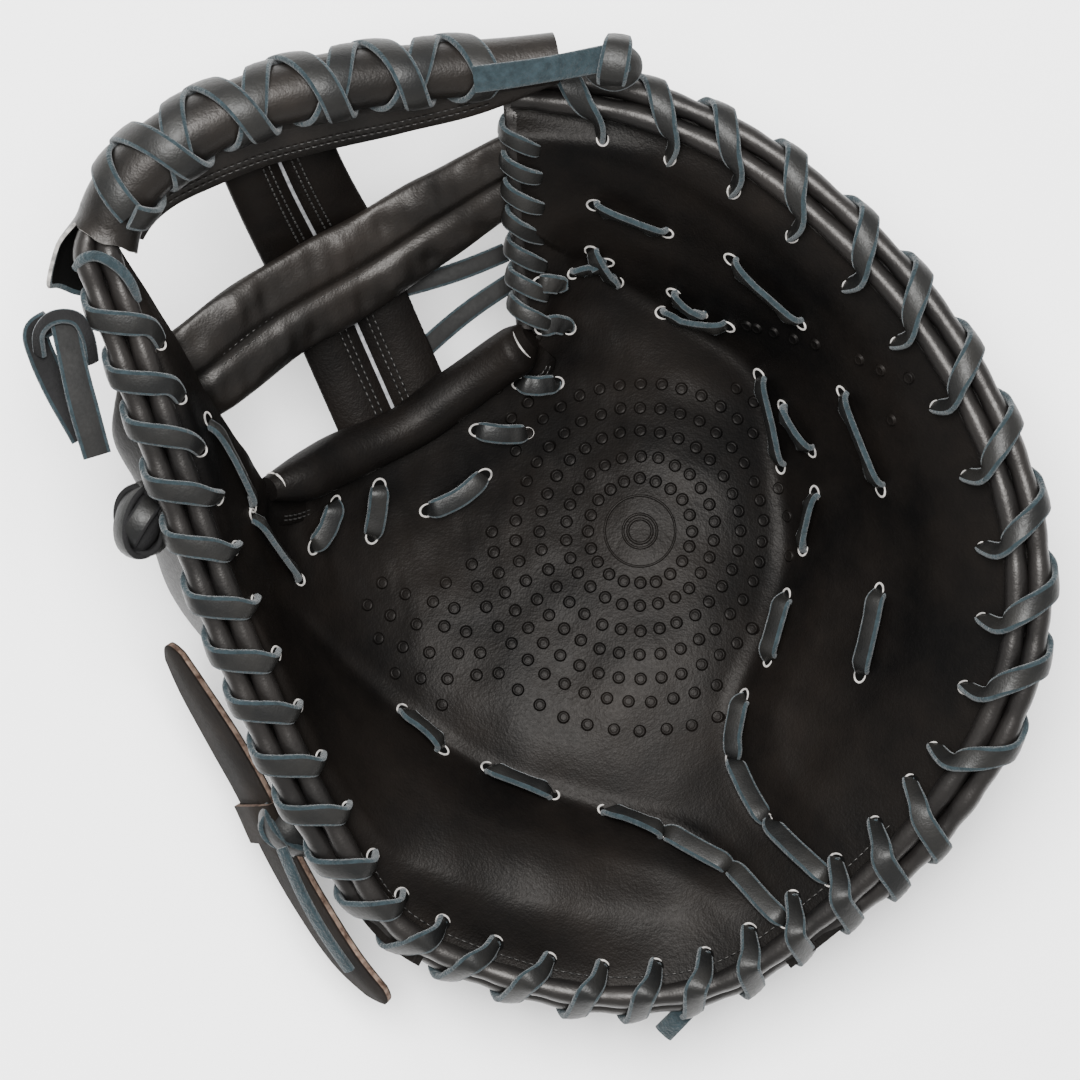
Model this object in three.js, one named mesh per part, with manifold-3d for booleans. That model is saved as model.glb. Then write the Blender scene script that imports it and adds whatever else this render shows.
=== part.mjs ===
// A first baseman's mitt for the left hand, lying on its back with the pocket up.
// Millimetres, +Z up. Seen from above, +X is the finger side and +Y the side of the web.
import * as THREE from "three";
import { mergeVertices } from "three/addons/utils/BufferGeometryUtils.js";
import Module from "manifold-3d";

const wasm = await Module();
wasm.setup();

// The whole mitt.
const HALF_WIDTH = 150; // from the middle to the finger rim's seam
const HALF_LENGTH = 150; // from the middle to the heel rim's seam
const DEPTH = 140; // from the surface that the mitt lies on to the thumb's tip

// Leather walls and padding.
const PALM_WALL = 6; // palm leather with its felt
const PAD_LIFT = 5; // how far the heel pad and the finger pad stand above the pocket
const PAD_SLOPE = 14; // width of the step from the pocket up to a pad
const BACK_WALL = 3.5; // back leather with its lining
const HAND_SPACE = 56; // room between palm and back where it is deepest
const GAP = 0.4; // clearance between neighbours
const SEAM_MARGIN = 9; // how far palm and back run together in from the rim

// Rim: two leather rolls side by side with a lace whipped round them.
const ROLL_RADIUS = 3.4;
const LACE_WIDTH = 7;
const LACE_THICKNESS = 1.8;
const HOLE_INSET = 6; // from the palm's edge to the lace holes
const FINGER_LACE_PITCH = 24;
const HEEL_LACE_PITCH = 18.5;
const HOLE_CLEARANCE = 0.7;

// Web: a padded bar, a wide middle band, a rolled band at the crotch and a post behind them.
const BAR_RADIUS = 9;
const BAR_SKIRT = 14; // stitched flap below the bar
const BAR_LACE_PITCH = 22;
const BAR_LACE_WIDTH = 8;
const BAND_WIDTH = 33;
const BAND_PUFF = 4.6; // half thickness at the crown of each half of the band
const CROTCH_RADIUS = 7.5;
const CROTCH_SKIRT = 9;
const POST_WIDTH = 36;
const POST_THICKNESS = 3;

// Wrist strap, pull strap, knots and lace ends.
const STRAP_WIDTH = 36;
const STRAP_THICKNESS = 3;
const PULL_WIDTH = 26;
const KNOT_SIZE = 12;
const END_WIDTH = 8.5;
const END_THICKNESS = 2;

const table = (columns, rows) =>
  rows.map((row) => Object.fromEntries(columns.map((name, i) => [name, row[i]])));

// Sections from the crotch of the web out to the rim, going round from the finger's tip by
// the heel to the thumb's tip. x and y place the rim's seam as shares of HALF_WIDTH and
// HALF_LENGTH; root is where the section starts on the crotch line; rim and h20 to h80 are
// the palm's heights at the rim and at 20 to 80% of the way out, as shares of DEPTH; hand is
// the room for the hand as a share of HAND_SPACE; mouth is how far out the back leather ends.
const SECTIONS = table(
  ["x", "y", "root", "h20", "h40", "h60", "h80", "rim", "hand", "mouth"],
  [
    [-0.05, 0.9, 0, 0.52, 0.56, 0.61, 0.67, 0.74, 0, 0.1],
    [0.2, 0.86, 0, 0.49, 0.51, 0.57, 0.66, 0.77, 0.3, 0.1],
    [0.44, 0.75, 0, 0.44, 0.46, 0.53, 0.64, 0.79, 0.48, 0.12],
    [0.68, 0.54, 0, 0.41, 0.4, 0.48, 0.63, 0.82, 0.62, 0.16],
    [0.84, 0.32, 0.06, 0.39, 0.36, 0.44, 0.62, 0.84, 0.78, 0.22],
    [0.94, 0.08, 0.14, 0.36, 0.34, 0.41, 0.61, 0.84, 0.7, 0.28],
    [0.96, -0.16, 0.22, 0.35, 0.31, 0.38, 0.57, 0.81, 0.7, 0.34],
    [0.9, -0.38, 0.3, 0.34, 0.3, 0.35, 0.52, 0.75, 0.7, 0.4],
    [0.77, -0.58, 0.38, 0.34, 0.29, 0.31, 0.45, 0.66, 0.72, 0.47],
    [0.59, -0.76, 0.46, 0.34, 0.29, 0.3, 0.4, 0.58, 0.75, 0.55],
    [0.37, -0.91, 0.54, 0.34, 0.3, 0.31, 0.39, 0.51, 0.8, 0.6],
    [0.12, -0.94, 0.62, 0.35, 0.31, 0.32, 0.43, 0.48, 0.8, 0.62],
    [-0.13, -0.88, 0.7, 0.36, 0.33, 0.36, 0.46, 0.48, 1.05, 0.6],
    [-0.31, -0.78, 0.79, 0.4, 0.38, 0.41, 0.49, 0.53, 1.2, 0.52],
    [-0.435, -0.575, 0.88, 0.46, 0.45, 0.47, 0.54, 0.63, 1.15, 0.36],
    [-0.54, -0.355, 0.96, 0.53, 0.53, 0.56, 0.62, 0.72, 1.2, 0.24],
    [-0.63, -0.13, 1, 0.62, 0.65, 0.69, 0.74, 0.8, 0.85, 0.15],
    [-0.71, 0.1, 1, 0.66, 0.71, 0.76, 0.82, 0.87, 0.6, 0.12],
    [-0.785, 0.325, 1, 0.69, 0.75, 0.81, 0.88, 0.94, 0.5, 0.1],
    [-0.865, 0.555, 1, 0.7, 0.77, 0.84, 0.91, 0.99, 0, 0.1],
  ],
);
const LAST = SECTIONS.length - 1;
const FINGER_BACK_END = 9.5; // the section where the finger back stops at the wrist
const THUMB_BACK_START = 12.5; // the section where the thumb back starts at the wrist
const LACES_MEET = 7.45; // the section where the rim's two laces meet
const SECTION_SPACING = 38; // the usual distance between two sections at the rim

// The palm's free edge below the web, from the finger side to the thumb side, as shares of
// HALF_WIDTH, HALF_LENGTH and DEPTH.
const CROTCH = table(
  ["x", "y", "height"],
  [
    [-0.02, 0.41, 0.49],
    [-0.09, 0.365, 0.46],
    [-0.18, 0.3, 0.44],
    [-0.28, 0.23, 0.44],
    [-0.42, 0.165, 0.49],
    [-0.54, 0.1, 0.61],
  ],
);

// Edges of the two palm pads, as shares of HALF_WIDTH and HALF_LENGTH: the heel pad lies
// below its line, and the finger pad to the right of its line.
const HEEL_PAD_EDGE = table(
  ["x", "y"],
  [
    [-0.6, -0.05],
    [-0.3, -0.33],
    [-0.1, -0.47],
    [0.14, -0.55],
    [0.32, -0.6],
    [0.46, -0.74],
    [0.55, -0.98],
  ],
);
const FINGER_PAD_EDGE = table(
  ["x", "y"],
  [
    [0.08, 0.56],
    [0.3, 0.44],
    [0.44, 0.33],
    [0.48, 0.16],
    [0.5, -0.02],
    [0.46, -0.18],
    [0.39, -0.36],
    [0.44, -0.54],
    [0.57, -0.68],
    [0.72, -0.86],
  ],
);

// Web pieces from the thumb side to the finger side. x, y and height are shares as above;
// size and skirt are shares of the piece's own radius or width and of its flap.
const BAR = table(
  ["x", "y", "height", "size", "skirt"],
  [
    [-0.885, 0.56, 0.93, 1.4, 0.1],
    [-0.83, 0.665, 0.965, 1.2, 0.4],
    [-0.725, 0.77, 0.985, 1.1, 0.8],
    [-0.585, 0.845, 0.97, 1, 1],
    [-0.43, 0.89, 0.935, 1, 1],
    [-0.275, 0.915, 0.895, 0.95, 0.9],
    [-0.12, 0.93, 0.855, 0.9, 0.6],
    [0.03, 0.95, 0.83, 0.85, 0.15],
  ],
);
const BAND = table(
  ["x", "y", "height", "size", "skirt"],
  [
    [-0.73, 0.3, 0.63, 1.02, 0],
    [-0.66, 0.35, 0.65, 1.04, 0],
    [-0.53, 0.45, 0.615, 1.04, 0],
    [-0.36, 0.55, 0.57, 1, 0],
    [-0.22, 0.64, 0.57, 0.93, 0],
    [-0.12, 0.7, 0.61, 0.85, 0],
    [-0.03, 0.75, 0.64, 0.78, 0],
  ],
);
const POST = table(
  ["x", "y", "height", "size", "skirt"],
  [
    [-0.55, 0.83, 0.89, 0.95, 0],
    [-0.49, 0.69, 0.73, 0.96, 0],
    [-0.42, 0.55, 0.525, 1, 0],
    [-0.36, 0.41, 0.45, 1, 0],
    [-0.29, 0.25, 0.4, 1, 0],
  ],
);

// Straps: the wrist strap across the back from thumb to fingers, and the pull strap that
// stands on edge beside the thumb's heel.
const WRIST_STRAP = table(
  ["x", "y", "height", "size", "skirt"],
  [
    [-0.36, -0.5, 0.03, 1, 0],
    [-0.18, -0.535, 0.013, 1, 0],
    [0.02, -0.55, 0.013, 1, 0],
    [0.22, -0.545, 0.013, 1, 0],
    [0.42, -0.52, 0.03, 1, 0],
  ],
);
const PULL_STRAP = table(
  ["x", "y", "height", "size", "skirt"],
  [
    [-0.75, -0.21, 0.4, 0.45, 0],
    [-0.7, -0.3, 0.39, 0.8, 0],
    [-0.635, -0.41, 0.37, 1, 0],
    [-0.575, -0.52, 0.35, 1, 0],
    [-0.525, -0.63, 0.33, 1, 0],
    [-0.465, -0.74, 0.3, 1, 0],
    [-0.39, -0.855, 0.27, 0.9, 0],
    [-0.31, -0.94, 0.25, 0.5, 0],
  ],
);

// Lace knots; size is a share of KNOT_SIZE and turn is in radians.
const KNOTS = table(
  ["name", "x", "y", "height", "size", "turn"],
  [
    ["finger_knot", 0.15, 0.95, 0.9, 1.1, 1.4],
    ["strap_knot", -0.505, -0.58, 0.4, 2.2, 2.4],
    ["thumb_knot", -0.785, 0.04, 0.79, 1.7, 1.3],
  ],
);

// Lace ends that stand free, each from its start to its tip.
const LACE_ENDS = table(
  ["name", "x0", "y0", "h0", "x1", "y1", "h1", "width"],
  [
    ["finger_lace_end", 0.13, 0.945, 0.915, -0.13, 0.9, 0.96, 1],
    ["thumb_lace_end", -0.905, 0.44, 0.97, -0.865, 0.17, 0.97, 1.1],
    ["web_lace_end_upper", -0.27, 0.51, 0.45, -0.07, 0.58, 0.43, 0.75],
    ["web_lace_end_lower", -0.23, 0.39, 0.4, -0.06, 0.52, 0.4, 0.75],
    ["strap_lace_end", -0.53, -0.62, 0.45, -0.39, -0.87, 0.38, 0.7],
    ["heel_lace_end", 0.31, -0.93, 0.44, 0.25, -0.995, 0.4, 0.75],
  ],
);

const point = (row) =>
  new THREE.Vector3(row.x * HALF_WIDTH, row.y * HALF_LENGTH, row.height * DEPTH);

// The value of one column, eased through its rows; place counts rows from the first.
function eased(rows, column, place) {
  const last = rows.length - 1;
  const i = Math.min(Math.max(Math.floor(place), 0), last - 1);
  const f = place - i;
  const at = (k) => rows[Math.min(Math.max(k, 0), last)][column];
  const [a, b, c, d] = [at(i - 1), at(i), at(i + 1), at(i + 2)];
  return b + (f * (c - a + f * (2 * a - 5 * b + 4 * c - d + f * (3 * (b - c) + d - a)))) / 2;
}

const rowAt = (rows, place) =>
  Object.fromEntries(Object.keys(rows[0]).map((name) => [name, eased(rows, name, place)]));

// How a smooth step rises from 0 to 1.
const smooth = (x) => {
  const f = Math.min(Math.max(x, 0), 1);
  return f * f * (3 - 2 * f);
};

// The rim's seam between its two rolls, with its tangent, outward and upward directions.
function seam(place) {
  const at = (p) =>
    new THREE.Vector3(
      eased(SECTIONS, "x", p) * HALF_WIDTH,
      eased(SECTIONS, "y", p) * HALF_LENGTH,
      eased(SECTIONS, "rim", p) * DEPTH,
    );
  const step = 0.02;
  const along = at(place + step)
    .sub(at(place - step))
    .normalize();
  const out = new THREE.Vector3(-along.y, along.x, 0).normalize();
  return { at: at(place), along, out, up: along.clone().cross(out) };
}

const seamPoint = (frame, out, up) =>
  frame.at.clone().addScaledVector(frame.out, out).addScaledVector(frame.up, up);

// How far a point of the plan lies beyond a pad's edge line, positive on the pad.
function beyondEdge(rows, x, y, side) {
  let nearest = Infinity;
  let signed = 0;
  for (let i = 0; i < rows.length - 1; i++) {
    const [ax, ay] = [rows[i].x * HALF_WIDTH, rows[i].y * HALF_LENGTH];
    const [bx, by] = [rows[i + 1].x * HALF_WIDTH, rows[i + 1].y * HALF_LENGTH];
    const [dx, dy] = [bx - ax, by - ay];
    const f = Math.min(Math.max(((x - ax) * dx + (y - ay) * dy) / (dx * dx + dy * dy), 0), 1);
    const reach = Math.hypot(x - ax - f * dx, y - ay - f * dy);
    if (reach < nearest) {
      nearest = reach;
      signed = reach * Math.sign(dx * (y - ay) - dy * (x - ax)) * side;
    }
  }
  return signed;
}

const padLift = (x, y, share) =>
  PAD_LIFT *
  smooth((1 - share) / 0.15) *
  Math.max(
    smooth(beyondEdge(HEEL_PAD_EDGE, x, y, -1) / PAD_SLOPE),
    smooth(beyondEdge(FINGER_PAD_EDGE, x, y, 1) / PAD_SLOPE),
  );

// A point of the palm's face: share 0 is on the crotch line and 1 under the inner rim roll.
function palm(place, share) {
  const frame = seam(place);
  const rim = seamPoint(frame, -2 * ROLL_RADIUS, -ROLL_RADIUS - GAP);
  const root = rowAt(CROTCH, eased(SECTIONS, "root", place) * (CROTCH.length - 1));
  const heights = [root.height].concat(
    ["h20", "h40", "h60", "h80"].map((name) => eased(SECTIONS, name, place)),
    rim.z / DEPTH,
  );
  const column = heights.map((height) => ({ height }));
  const start = point(root);
  return new THREE.Vector3(
    start.x + (rim.x - start.x) * share,
    start.y + (rim.y - start.y) * share,
    eased(column, "height", share * (column.length - 1)) * DEPTH,
  );
}

function palmNormal(place, share) {
  const step = 0.03;
  const s = Math.max(share, 2 * step);
  const across = palm(place, s + step).sub(palm(place, s - step));
  const along = palm(place + step, s).sub(palm(place - step, s));
  return along.cross(across).normalize();
}

// The way through the leather: the face's own normal, turned level where the rim begins.
function wallNormal(place, share) {
  const turned = smooth((share - 0.86) / 0.14);
  const level = seam(place).out.negate();
  return palmNormal(place, share).lerp(level, turned).normalize();
}

// A point below the palm's face by depth, never lower than the floor.
function under(place, share, depth, floor) {
  const p = palm(place, share).addScaledVector(wallNormal(place, share), -depth);
  p.z = Math.max(p.z, floor);
  return p;
}

const reachOf = (place) => palm(place, 0).distanceTo(palm(place, 1));

// Room between palm and back: none along the rim, and none at the web side of each stall.
function roomAt(place, share) {
  const fullAt = 0.45;
  const sewn = SEAM_MARGIN / reachOf(place);
  const opened = Math.min(Math.max((1 - share - sewn) / (fullAt - sewn), 0), 1);
  const stall = (2 * eased(SECTIONS, "root", place) - 1) ** 4;
  const mouth = eased(SECTIONS, "mouth", place);
  const shut = 1 - stall * (1 - smooth((share - mouth) / 0.25));
  return HAND_SPACE * eased(SECTIONS, "hand", place) * Math.sin((opened * Math.PI) / 2) * shut;
}

// A point of the back leather by depth below its inner face. Where the rim is low, the room
// for the hand goes straight down; where it is high, it goes out from the palm's face.
function back(place, share, depth, floor) {
  const down = Math.min(Math.max(2.2 - 2 * eased(SECTIONS, "rim", place), 0), 1);
  const way = wallNormal(place, share).lerp(new THREE.Vector3(0, 0, 1), down).normalize();
  const p = under(place, share, PALM_WALL + 2 * GAP + depth, -DEPTH);
  p.addScaledVector(way, -roomAt(place, share));
  p.z = Math.max(p.z, floor);
  return p;
}

// A closed solid from a grid of outer points and the matching grid of inner points.
function wallSolid(outer, inner) {
  const [rows, columns] = [outer.length, outer[0].length];
  const positions = [];
  const tri = (a, b, c) => positions.push(...a.toArray(), ...b.toArray(), ...c.toArray());
  const quad = (a, b, c, d) => {
    tri(a, b, c);
    tri(a, c, d);
  };
  for (let i = 0; i < rows - 1; i++)
    for (let j = 0; j < columns - 1; j++) {
      quad(outer[i][j], outer[i + 1][j], outer[i + 1][j + 1], outer[i][j + 1]);
      quad(inner[i][j], inner[i][j + 1], inner[i + 1][j + 1], inner[i + 1][j]);
    }
  for (let i = 0; i < rows - 1; i++) {
    quad(outer[i][0], inner[i][0], inner[i + 1][0], outer[i + 1][0]);
    const j = columns - 1;
    quad(outer[i][j], outer[i + 1][j], inner[i + 1][j], inner[i][j]);
  }
  for (let j = 0; j < columns - 1; j++) {
    quad(outer[0][j], outer[0][j + 1], inner[0][j + 1], inner[0][j]);
    const i = rows - 1;
    quad(outer[i][j], inner[i][j], inner[i][j + 1], outer[i][j + 1]);
  }
  return solidOf(positions);
}

function solidOf(positions) {
  const geometry = new THREE.BufferGeometry().setAttribute(
    "position",
    new THREE.Float32BufferAttribute(positions, 3),
  );
  const merged = mergeVertices(geometry, 1e-3);
  const mesh = new wasm.Mesh({
    numProp: 3,
    vertProperties: merged.attributes.position.array,
    triVerts: new Uint32Array(merged.index.array),
  });
  const solid = new wasm.Manifold(mesh);
  if (solid.volume() > 0) return solid;
  mesh.triVerts = mesh.triVerts.reverse();
  return new wasm.Manifold(mesh);
}

const largest = (solid) =>
  solid.decompose().reduce((best, s) => (s.volume() > best.volume() ? s : best));

const trimmed = (solid, ...cutters) =>
  largest(cutters.reduce((left, cutter) => left.subtract(cutter), solid));

// Evenly spaced places from start to end.
const spaced = (start, end, steps) =>
  Array.from({ length: steps + 1 }, (_, i) => start + ((end - start) * i) / steps);

// A closed solid swept through frames: each has at, side and up, and outline gives the
// section's points as [along side, along up] for that frame.
function swept(frames, outline) {
  const rings = frames.map((frame, i) =>
    outline(frame, i).map(([side, up]) =>
      frame.at.clone().addScaledVector(frame.side, side).addScaledVector(frame.up, up),
    ),
  );
  const positions = [];
  const tri = (a, b, c) => positions.push(...a.toArray(), ...b.toArray(), ...c.toArray());
  const count = rings[0].length;
  for (let i = 0; i < rings.length - 1; i++)
    for (let j = 0; j < count; j++) {
      const k = (j + 1) % count;
      tri(rings[i][j], rings[i + 1][j], rings[i + 1][k]);
      tri(rings[i][j], rings[i + 1][k], rings[i][k]);
    }
  const cap = (ring, face) => {
    const flat = THREE.ShapeUtils.triangulateShape(
      outline(frames[ring], ring).map(([side, up]) => new THREE.Vector2(side, up)),
      [],
    );
    for (const [a, b, c] of flat) {
      const [p, q, r] = [a, b, c].map((n) => rings[ring][n]);
      if (face) tri(p, q, r);
      else tri(p, r, q);
    }
  };
  const turns = THREE.ShapeUtils.area(
    outline(frames[0], 0).map(([side, up]) => new THREE.Vector2(side, up)),
  );
  cap(0, turns > 0);
  cap(rings.length - 1, turns < 0);
  return solidOf(positions);
}

const box = (width, thickness) => [
  [-width / 2, -thickness / 2],
  [width / 2, -thickness / 2],
  [width / 2, thickness / 2],
  [-width / 2, thickness / 2],
];

const round = (radius, sides) =>
  Array.from({ length: sides }, (_, i) => {
    const angle = (2 * Math.PI * (i + 0.5)) / sides;
    return [radius * Math.cos(angle), radius * Math.sin(angle)];
  });

// Frames along a list of points; facing gives the direction that each flat face looks in.
function framesAlong(points, facing) {
  return points.map((at, i) => {
    const along = points[Math.min(i + 1, points.length - 1)]
      .clone()
      .sub(points[Math.max(i - 1, 0)])
      .normalize();
    const wanted = facing(at, i);
    const up = wanted.clone().addScaledVector(along, -wanted.dot(along)).normalize();
    return { at, along, up, side: along.clone().cross(up), row: i };
  });
}

// The same list with its first and last entries moved outwards, for a grown copy.
const grownEnds = (list, grow) =>
  list.map((f, i) => (i ? (i === list.length - 1 ? f + grow : f) : f - grow));

// The palm, and the same wall grown all round by margin for cutting its neighbours.
function palmSolid(margin) {
  const places = grownEnds(spaced(0, LAST, 2 * LAST), margin / SECTION_SPACING);
  const shares = (p) =>
    grownEnds([0.04, 0.16, 0.3, 0.45, 0.6, 0.74, 0.86, 0.94, 1], margin / reachOf(p));
  const face = (p, t, depth, lift) => {
    const at = under(p, t, depth, 0);
    at.z += lift ? padLift(at.x, at.y, t) : 0;
    return at;
  };
  return wallSolid(
    places.map((p) => shares(p).map((t) => face(p, t, -margin, true))),
    places.map((p) => shares(p).map((t) => face(p, t, PALM_WALL + margin, false))),
  );
}

// One side of the back leather, from its free edge at the hand's mouth out to the rim.
function backSolid(start, end, margin) {
  const places = grownEnds(spaced(start, end, 2 * (end - start)), margin / SECTION_SPACING);
  const face = (depth, floor) => (p) => {
    const mouth = eased(SECTIONS, "mouth", p);
    const shares = [0, 0.3, 0.55, 0.75, 0.88].map((f) => mouth + (0.94 - mouth) * f);
    return grownEnds(shares.concat([0.94, 1]), margin / reachOf(p)).map((t) =>
      back(p, t, depth, floor),
    );
  };
  return wallSolid(
    places.map(face(-margin, BACK_WALL - margin)),
    places.map(face(BACK_WALL + margin, -margin)),
  );
}

const fingerBack = (margin) => backSolid(0, FINGER_BACK_END, margin);
const thumbBack = (margin) => backSolid(THUMB_BACK_START, LAST, margin);

function rollSolid(out, margin) {
  const stepsPerSection = 2;
  const frames = spaced(0, LAST, stepsPerSection * LAST).map((p) => {
    const frame = seam(p);
    return { at: seamPoint(frame, out, 0), side: frame.out, up: frame.up };
  });
  return swept(frames, () => round(ROLL_RADIUS + margin, 6));
}

// Places on the seam that are equally far apart along it.
function evenPlaces(start, end, pitch) {
  const fine = spaced(start, end, 400).map((p) => ({ p, at: seam(p).at }));
  const lengths = fine.reduce(
    (sums, f, i) => sums.concat(i ? sums[i - 1] + f.at.distanceTo(fine[i - 1].at) : 0),
    [],
  );
  const total = lengths[lengths.length - 1];
  return spaced(0, total, Math.round(total / pitch)).map((length) => {
    const i = Math.max(
      lengths.findIndex((l) => l >= length - 1e-6),
      0,
    );
    return fine[i].p;
  });
}

// A lace whipped round the rim: up through a hole in back and palm, over both rolls and
// round to the next hole.
function rimLace(start, end, pitch) {
  const places = evenPlaces(start, end, pitch);
  const points = [];
  const facing = [];
  const roll = ROLL_RADIUS;
  const skin = LACE_THICKNESS / 2 + 3 * GAP;
  const around = roll + skin;
  const push = (at, frame) => {
    points.push(at);
    facing.push(at.clone().sub(seamPoint(frame, -0.9 * roll, -0.6 * roll)).normalize());
  };
  for (let i = 0; i < places.length - 1; i++) {
    const between = (f) => places[i] + (places[i + 1] - places[i]) * f;
    const ring = (f, out, up) => {
      const frame = seam(between(f));
      push(seamPoint(frame, out, up), frame);
    };
    const hole = (f, depth, drop) => {
      const p = between(f);
      const t = 1 - HOLE_INSET / reachOf(p);
      const frame = seam(p);
      push(under(p, t, depth, -DEPTH).addScaledVector(frame.up, -drop), frame);
    };
    hole(0, -1.4 * skin, 0);
    ring(0.1, -roll - 1.1 * around, 0.5 * around);
    ring(0.25, -roll, around);
    ring(0.4, roll, around);
    ring(0.52, roll + 0.85 * around, 0.55 * around);
    ring(0.65, roll + around, -0.4 * around);
    ring(0.8, roll + 0.6 * around, -1.2 * around);
    hole(1, PALM_WALL + 2 * GAP + BACK_WALL + skin, roll / 2);
  }
  return framesAlong(points, (_, i) => facing[i]);
}

const laceSolid = (frames, width, grown) =>
  swept(frames, () => box(width + 2 * grown, LACE_THICKNESS + 2 * grown));

// Frames along one of the web's tables, with the flat face turned to the pocket's opening.
const WEB_FACING = new THREE.Vector3(0.3, -0.48, 0.82);
function tableFrames(rows, steps, facing = WEB_FACING) {
  const places = spaced(0, rows.length - 1, steps);
  const points = places.map((p) => point(rowAt(rows, p)));
  return framesAlong(points, () => facing).map((frame, i) => ({
    ...frame,
    size: eased(rows, "size", places[i]),
    skirt: eased(rows, "skirt", places[i]),
  }));
}

// A roll with a flat flap on its side: the bar and the crotch band.
const rollWithSkirt = (radius, skirt, thickness, margin) => (frame) => {
  const [r, reach] = [radius * frame.size + margin, skirt * frame.skirt + margin];
  const rest = -0.35 * r;
  const half = thickness / 2 + margin;
  const opening = 0.45;
  const arc = spaced(opening, 2 * Math.PI - opening, 7).map((a) => [
    r * Math.cos(a),
    r * Math.sin(a),
  ]);
  return arc.concat([
    [r + reach, rest - half],
    [r + reach, rest + half],
  ]);
};

function barSolid(margin) {
  const frames = tableFrames(BAR, 16);
  return swept(frames, rollWithSkirt(BAR_RADIUS, BAR_SKIRT, BACK_WALL, margin));
}

function bandSolid(margin) {
  return swept(tableFrames(BAND, 14), (frame) => {
    const w = (BAND_WIDTH * frame.size) / 2 + margin;
    const crown = BAND_PUFF + margin;
    const flat = BAND_PUFF / 2 + margin;
    return [
      [-w, 0],
      [-0.55 * w, -flat],
      [0.55 * w, -flat],
      [w, 0],
      [0.8 * w, 0.85 * crown],
      [0.42 * w, crown],
      [0, 0.55 * crown],
      [-0.42 * w, crown],
      [-0.8 * w, 0.85 * crown],
    ];
  });
}

const postSolid = (margin) =>
  swept(tableFrames(POST, 10), (frame) =>
    box(POST_WIDTH * frame.size + 2 * margin, POST_THICKNESS + 2 * margin),
  );

function crotchSolid(margin) {
  const rows = CROTCH.map((row) => ({ ...row, size: 1, skirt: 1 })).reverse();
  const lifted = tableFrames(rows, 16).map((frame) => ({
    ...frame,
    at: frame.at.clone().addScaledVector(frame.up, CROTCH_RADIUS / 3),
  }));
  return swept(lifted, rollWithSkirt(CROTCH_RADIUS, CROTCH_SKIRT, BACK_WALL, margin));
}

// A lace wound round the bar; turn is 1 or -1, and lift keeps the second lace off the first.
function barLace(turn, lift) {
  const frames = tableFrames(BAR, 96).slice(14, 84);
  const length = frames.reduce(
    (sum, f, i) => sum + (i ? f.at.distanceTo(frames[i - 1].at) : 0),
    0,
  );
  const turns = Math.round(length / BAR_LACE_PITCH);
  const perTurn = 8;
  const points = spaced(0, frames.length - 1, turns * perTurn).map((f, i) => {
    const frame = frames[Math.round(f)];
    const angle = (turn * 2 * Math.PI * i) / perTurn + Math.PI / 2;
    const r = BAR_RADIUS * frame.size + GAP + LACE_THICKNESS + lift;
    const out = frame.side
      .clone()
      .multiplyScalar(Math.cos(angle))
      .addScaledVector(frame.up, Math.sin(angle));
    return { at: frame.at.clone().addScaledVector(out, r), out };
  });
  return framesAlong(
    points.map((p) => p.at),
    (_, i) => points[i].out,
  );
}

// A leather strap on its table; facing is the way its flat side looks.
const strapSolid = (rows, steps, width, facing, margin) =>
  swept(tableFrames(rows, steps, facing), (frame) =>
    box(width * frame.size + 2 * margin, STRAP_THICKNESS + 2 * margin),
  );

// A knot: a turned block with its corners off.
function knotSolid(centre, size, turn) {
  const geometry = new THREE.SphereGeometry(size / 2, 8, 6)
    .scale(1.15, 0.95, 0.75)
    .rotateZ(turn);
  geometry.translate(centre.x, centre.y, centre.z);
  const plain = geometry.toNonIndexed();
  return solidOf(Array.from(plain.getAttribute("position").array));
}

function endSolid(row) {
  const start = point({ x: row.x0, y: row.y0, height: row.h0 });
  const tip = point({ x: row.x1, y: row.y1, height: row.h1 });
  const sag = END_THICKNESS;
  const points = spaced(0, 1, 4).map((f) => {
    const at = start.clone().lerp(tip, f);
    at.z += sag * Math.sin(Math.PI * f);
    return at;
  });
  const frames = framesAlong(points, () => new THREE.Vector3(0, 0, 1));
  return swept(frames, () => box(END_WIDTH * row.width, END_THICKNESS));
}

const LEATHER = { color: 0x17181a, roughness: 0.48, metalness: 0 };
const ROLL_LEATHER = { color: 0x1d1e20, roughness: 0.4, metalness: 0 };
const LACE_LEATHER = { color: 0x262d30, roughness: 0.6, metalness: 0 };

const mitt = new THREE.Group();

// The corners of a solid's faces, one after another.
function cornersOf(solid) {
  const { numProp, vertProperties, triVerts } = solid.getMesh();
  return Array.from(triVerts).flatMap((v) =>
    Array.from(vertProperties.subarray(v * numProp, v * numProp + 3)),
  );
}

function add(name, solid, finish) {
  const welded = largest(solidOf(cornersOf(solid)));
  const geometry = new THREE.BufferGeometry().setAttribute(
    "position",
    new THREE.Float32BufferAttribute(cornersOf(welded), 3),
  );
  const mesh = new THREE.Mesh(geometry, new THREE.MeshStandardMaterial(finish));
  mesh.name = name;
  mitt.add(mesh);
}

// Body: palm, two backs, two rolls and the laces through them.
const rollOffset = ROLL_RADIUS + GAP / 2;
const fingerLace = rimLace(LACES_MEET, 0.2, FINGER_LACE_PITCH);
const heelLace = rimLace(LACES_MEET + 0.35, LAST - 0.3, HEEL_LACE_PITCH);
const laceHoles = [HOLE_CLEARANCE, GAP].flatMap((grown) =>
  [fingerLace, heelLace].map((f) => laceSolid(f, LACE_WIDTH, grown)),
);
add("palm", trimmed(palmSolid(0), ...laceHoles), LEATHER);
add("finger_back", trimmed(fingerBack(0), ...laceHoles), LEATHER);
add("thumb_back", trimmed(thumbBack(0), ...laceHoles), LEATHER);
add("inner_rim_roll", rollSolid(-rollOffset, 0), ROLL_LEATHER);
add("outer_rim_roll", rollSolid(rollOffset, 0), ROLL_LEATHER);
add("finger_rim_lace", laceSolid(fingerLace, LACE_WIDTH, 0), LACE_LEATHER);
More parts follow.
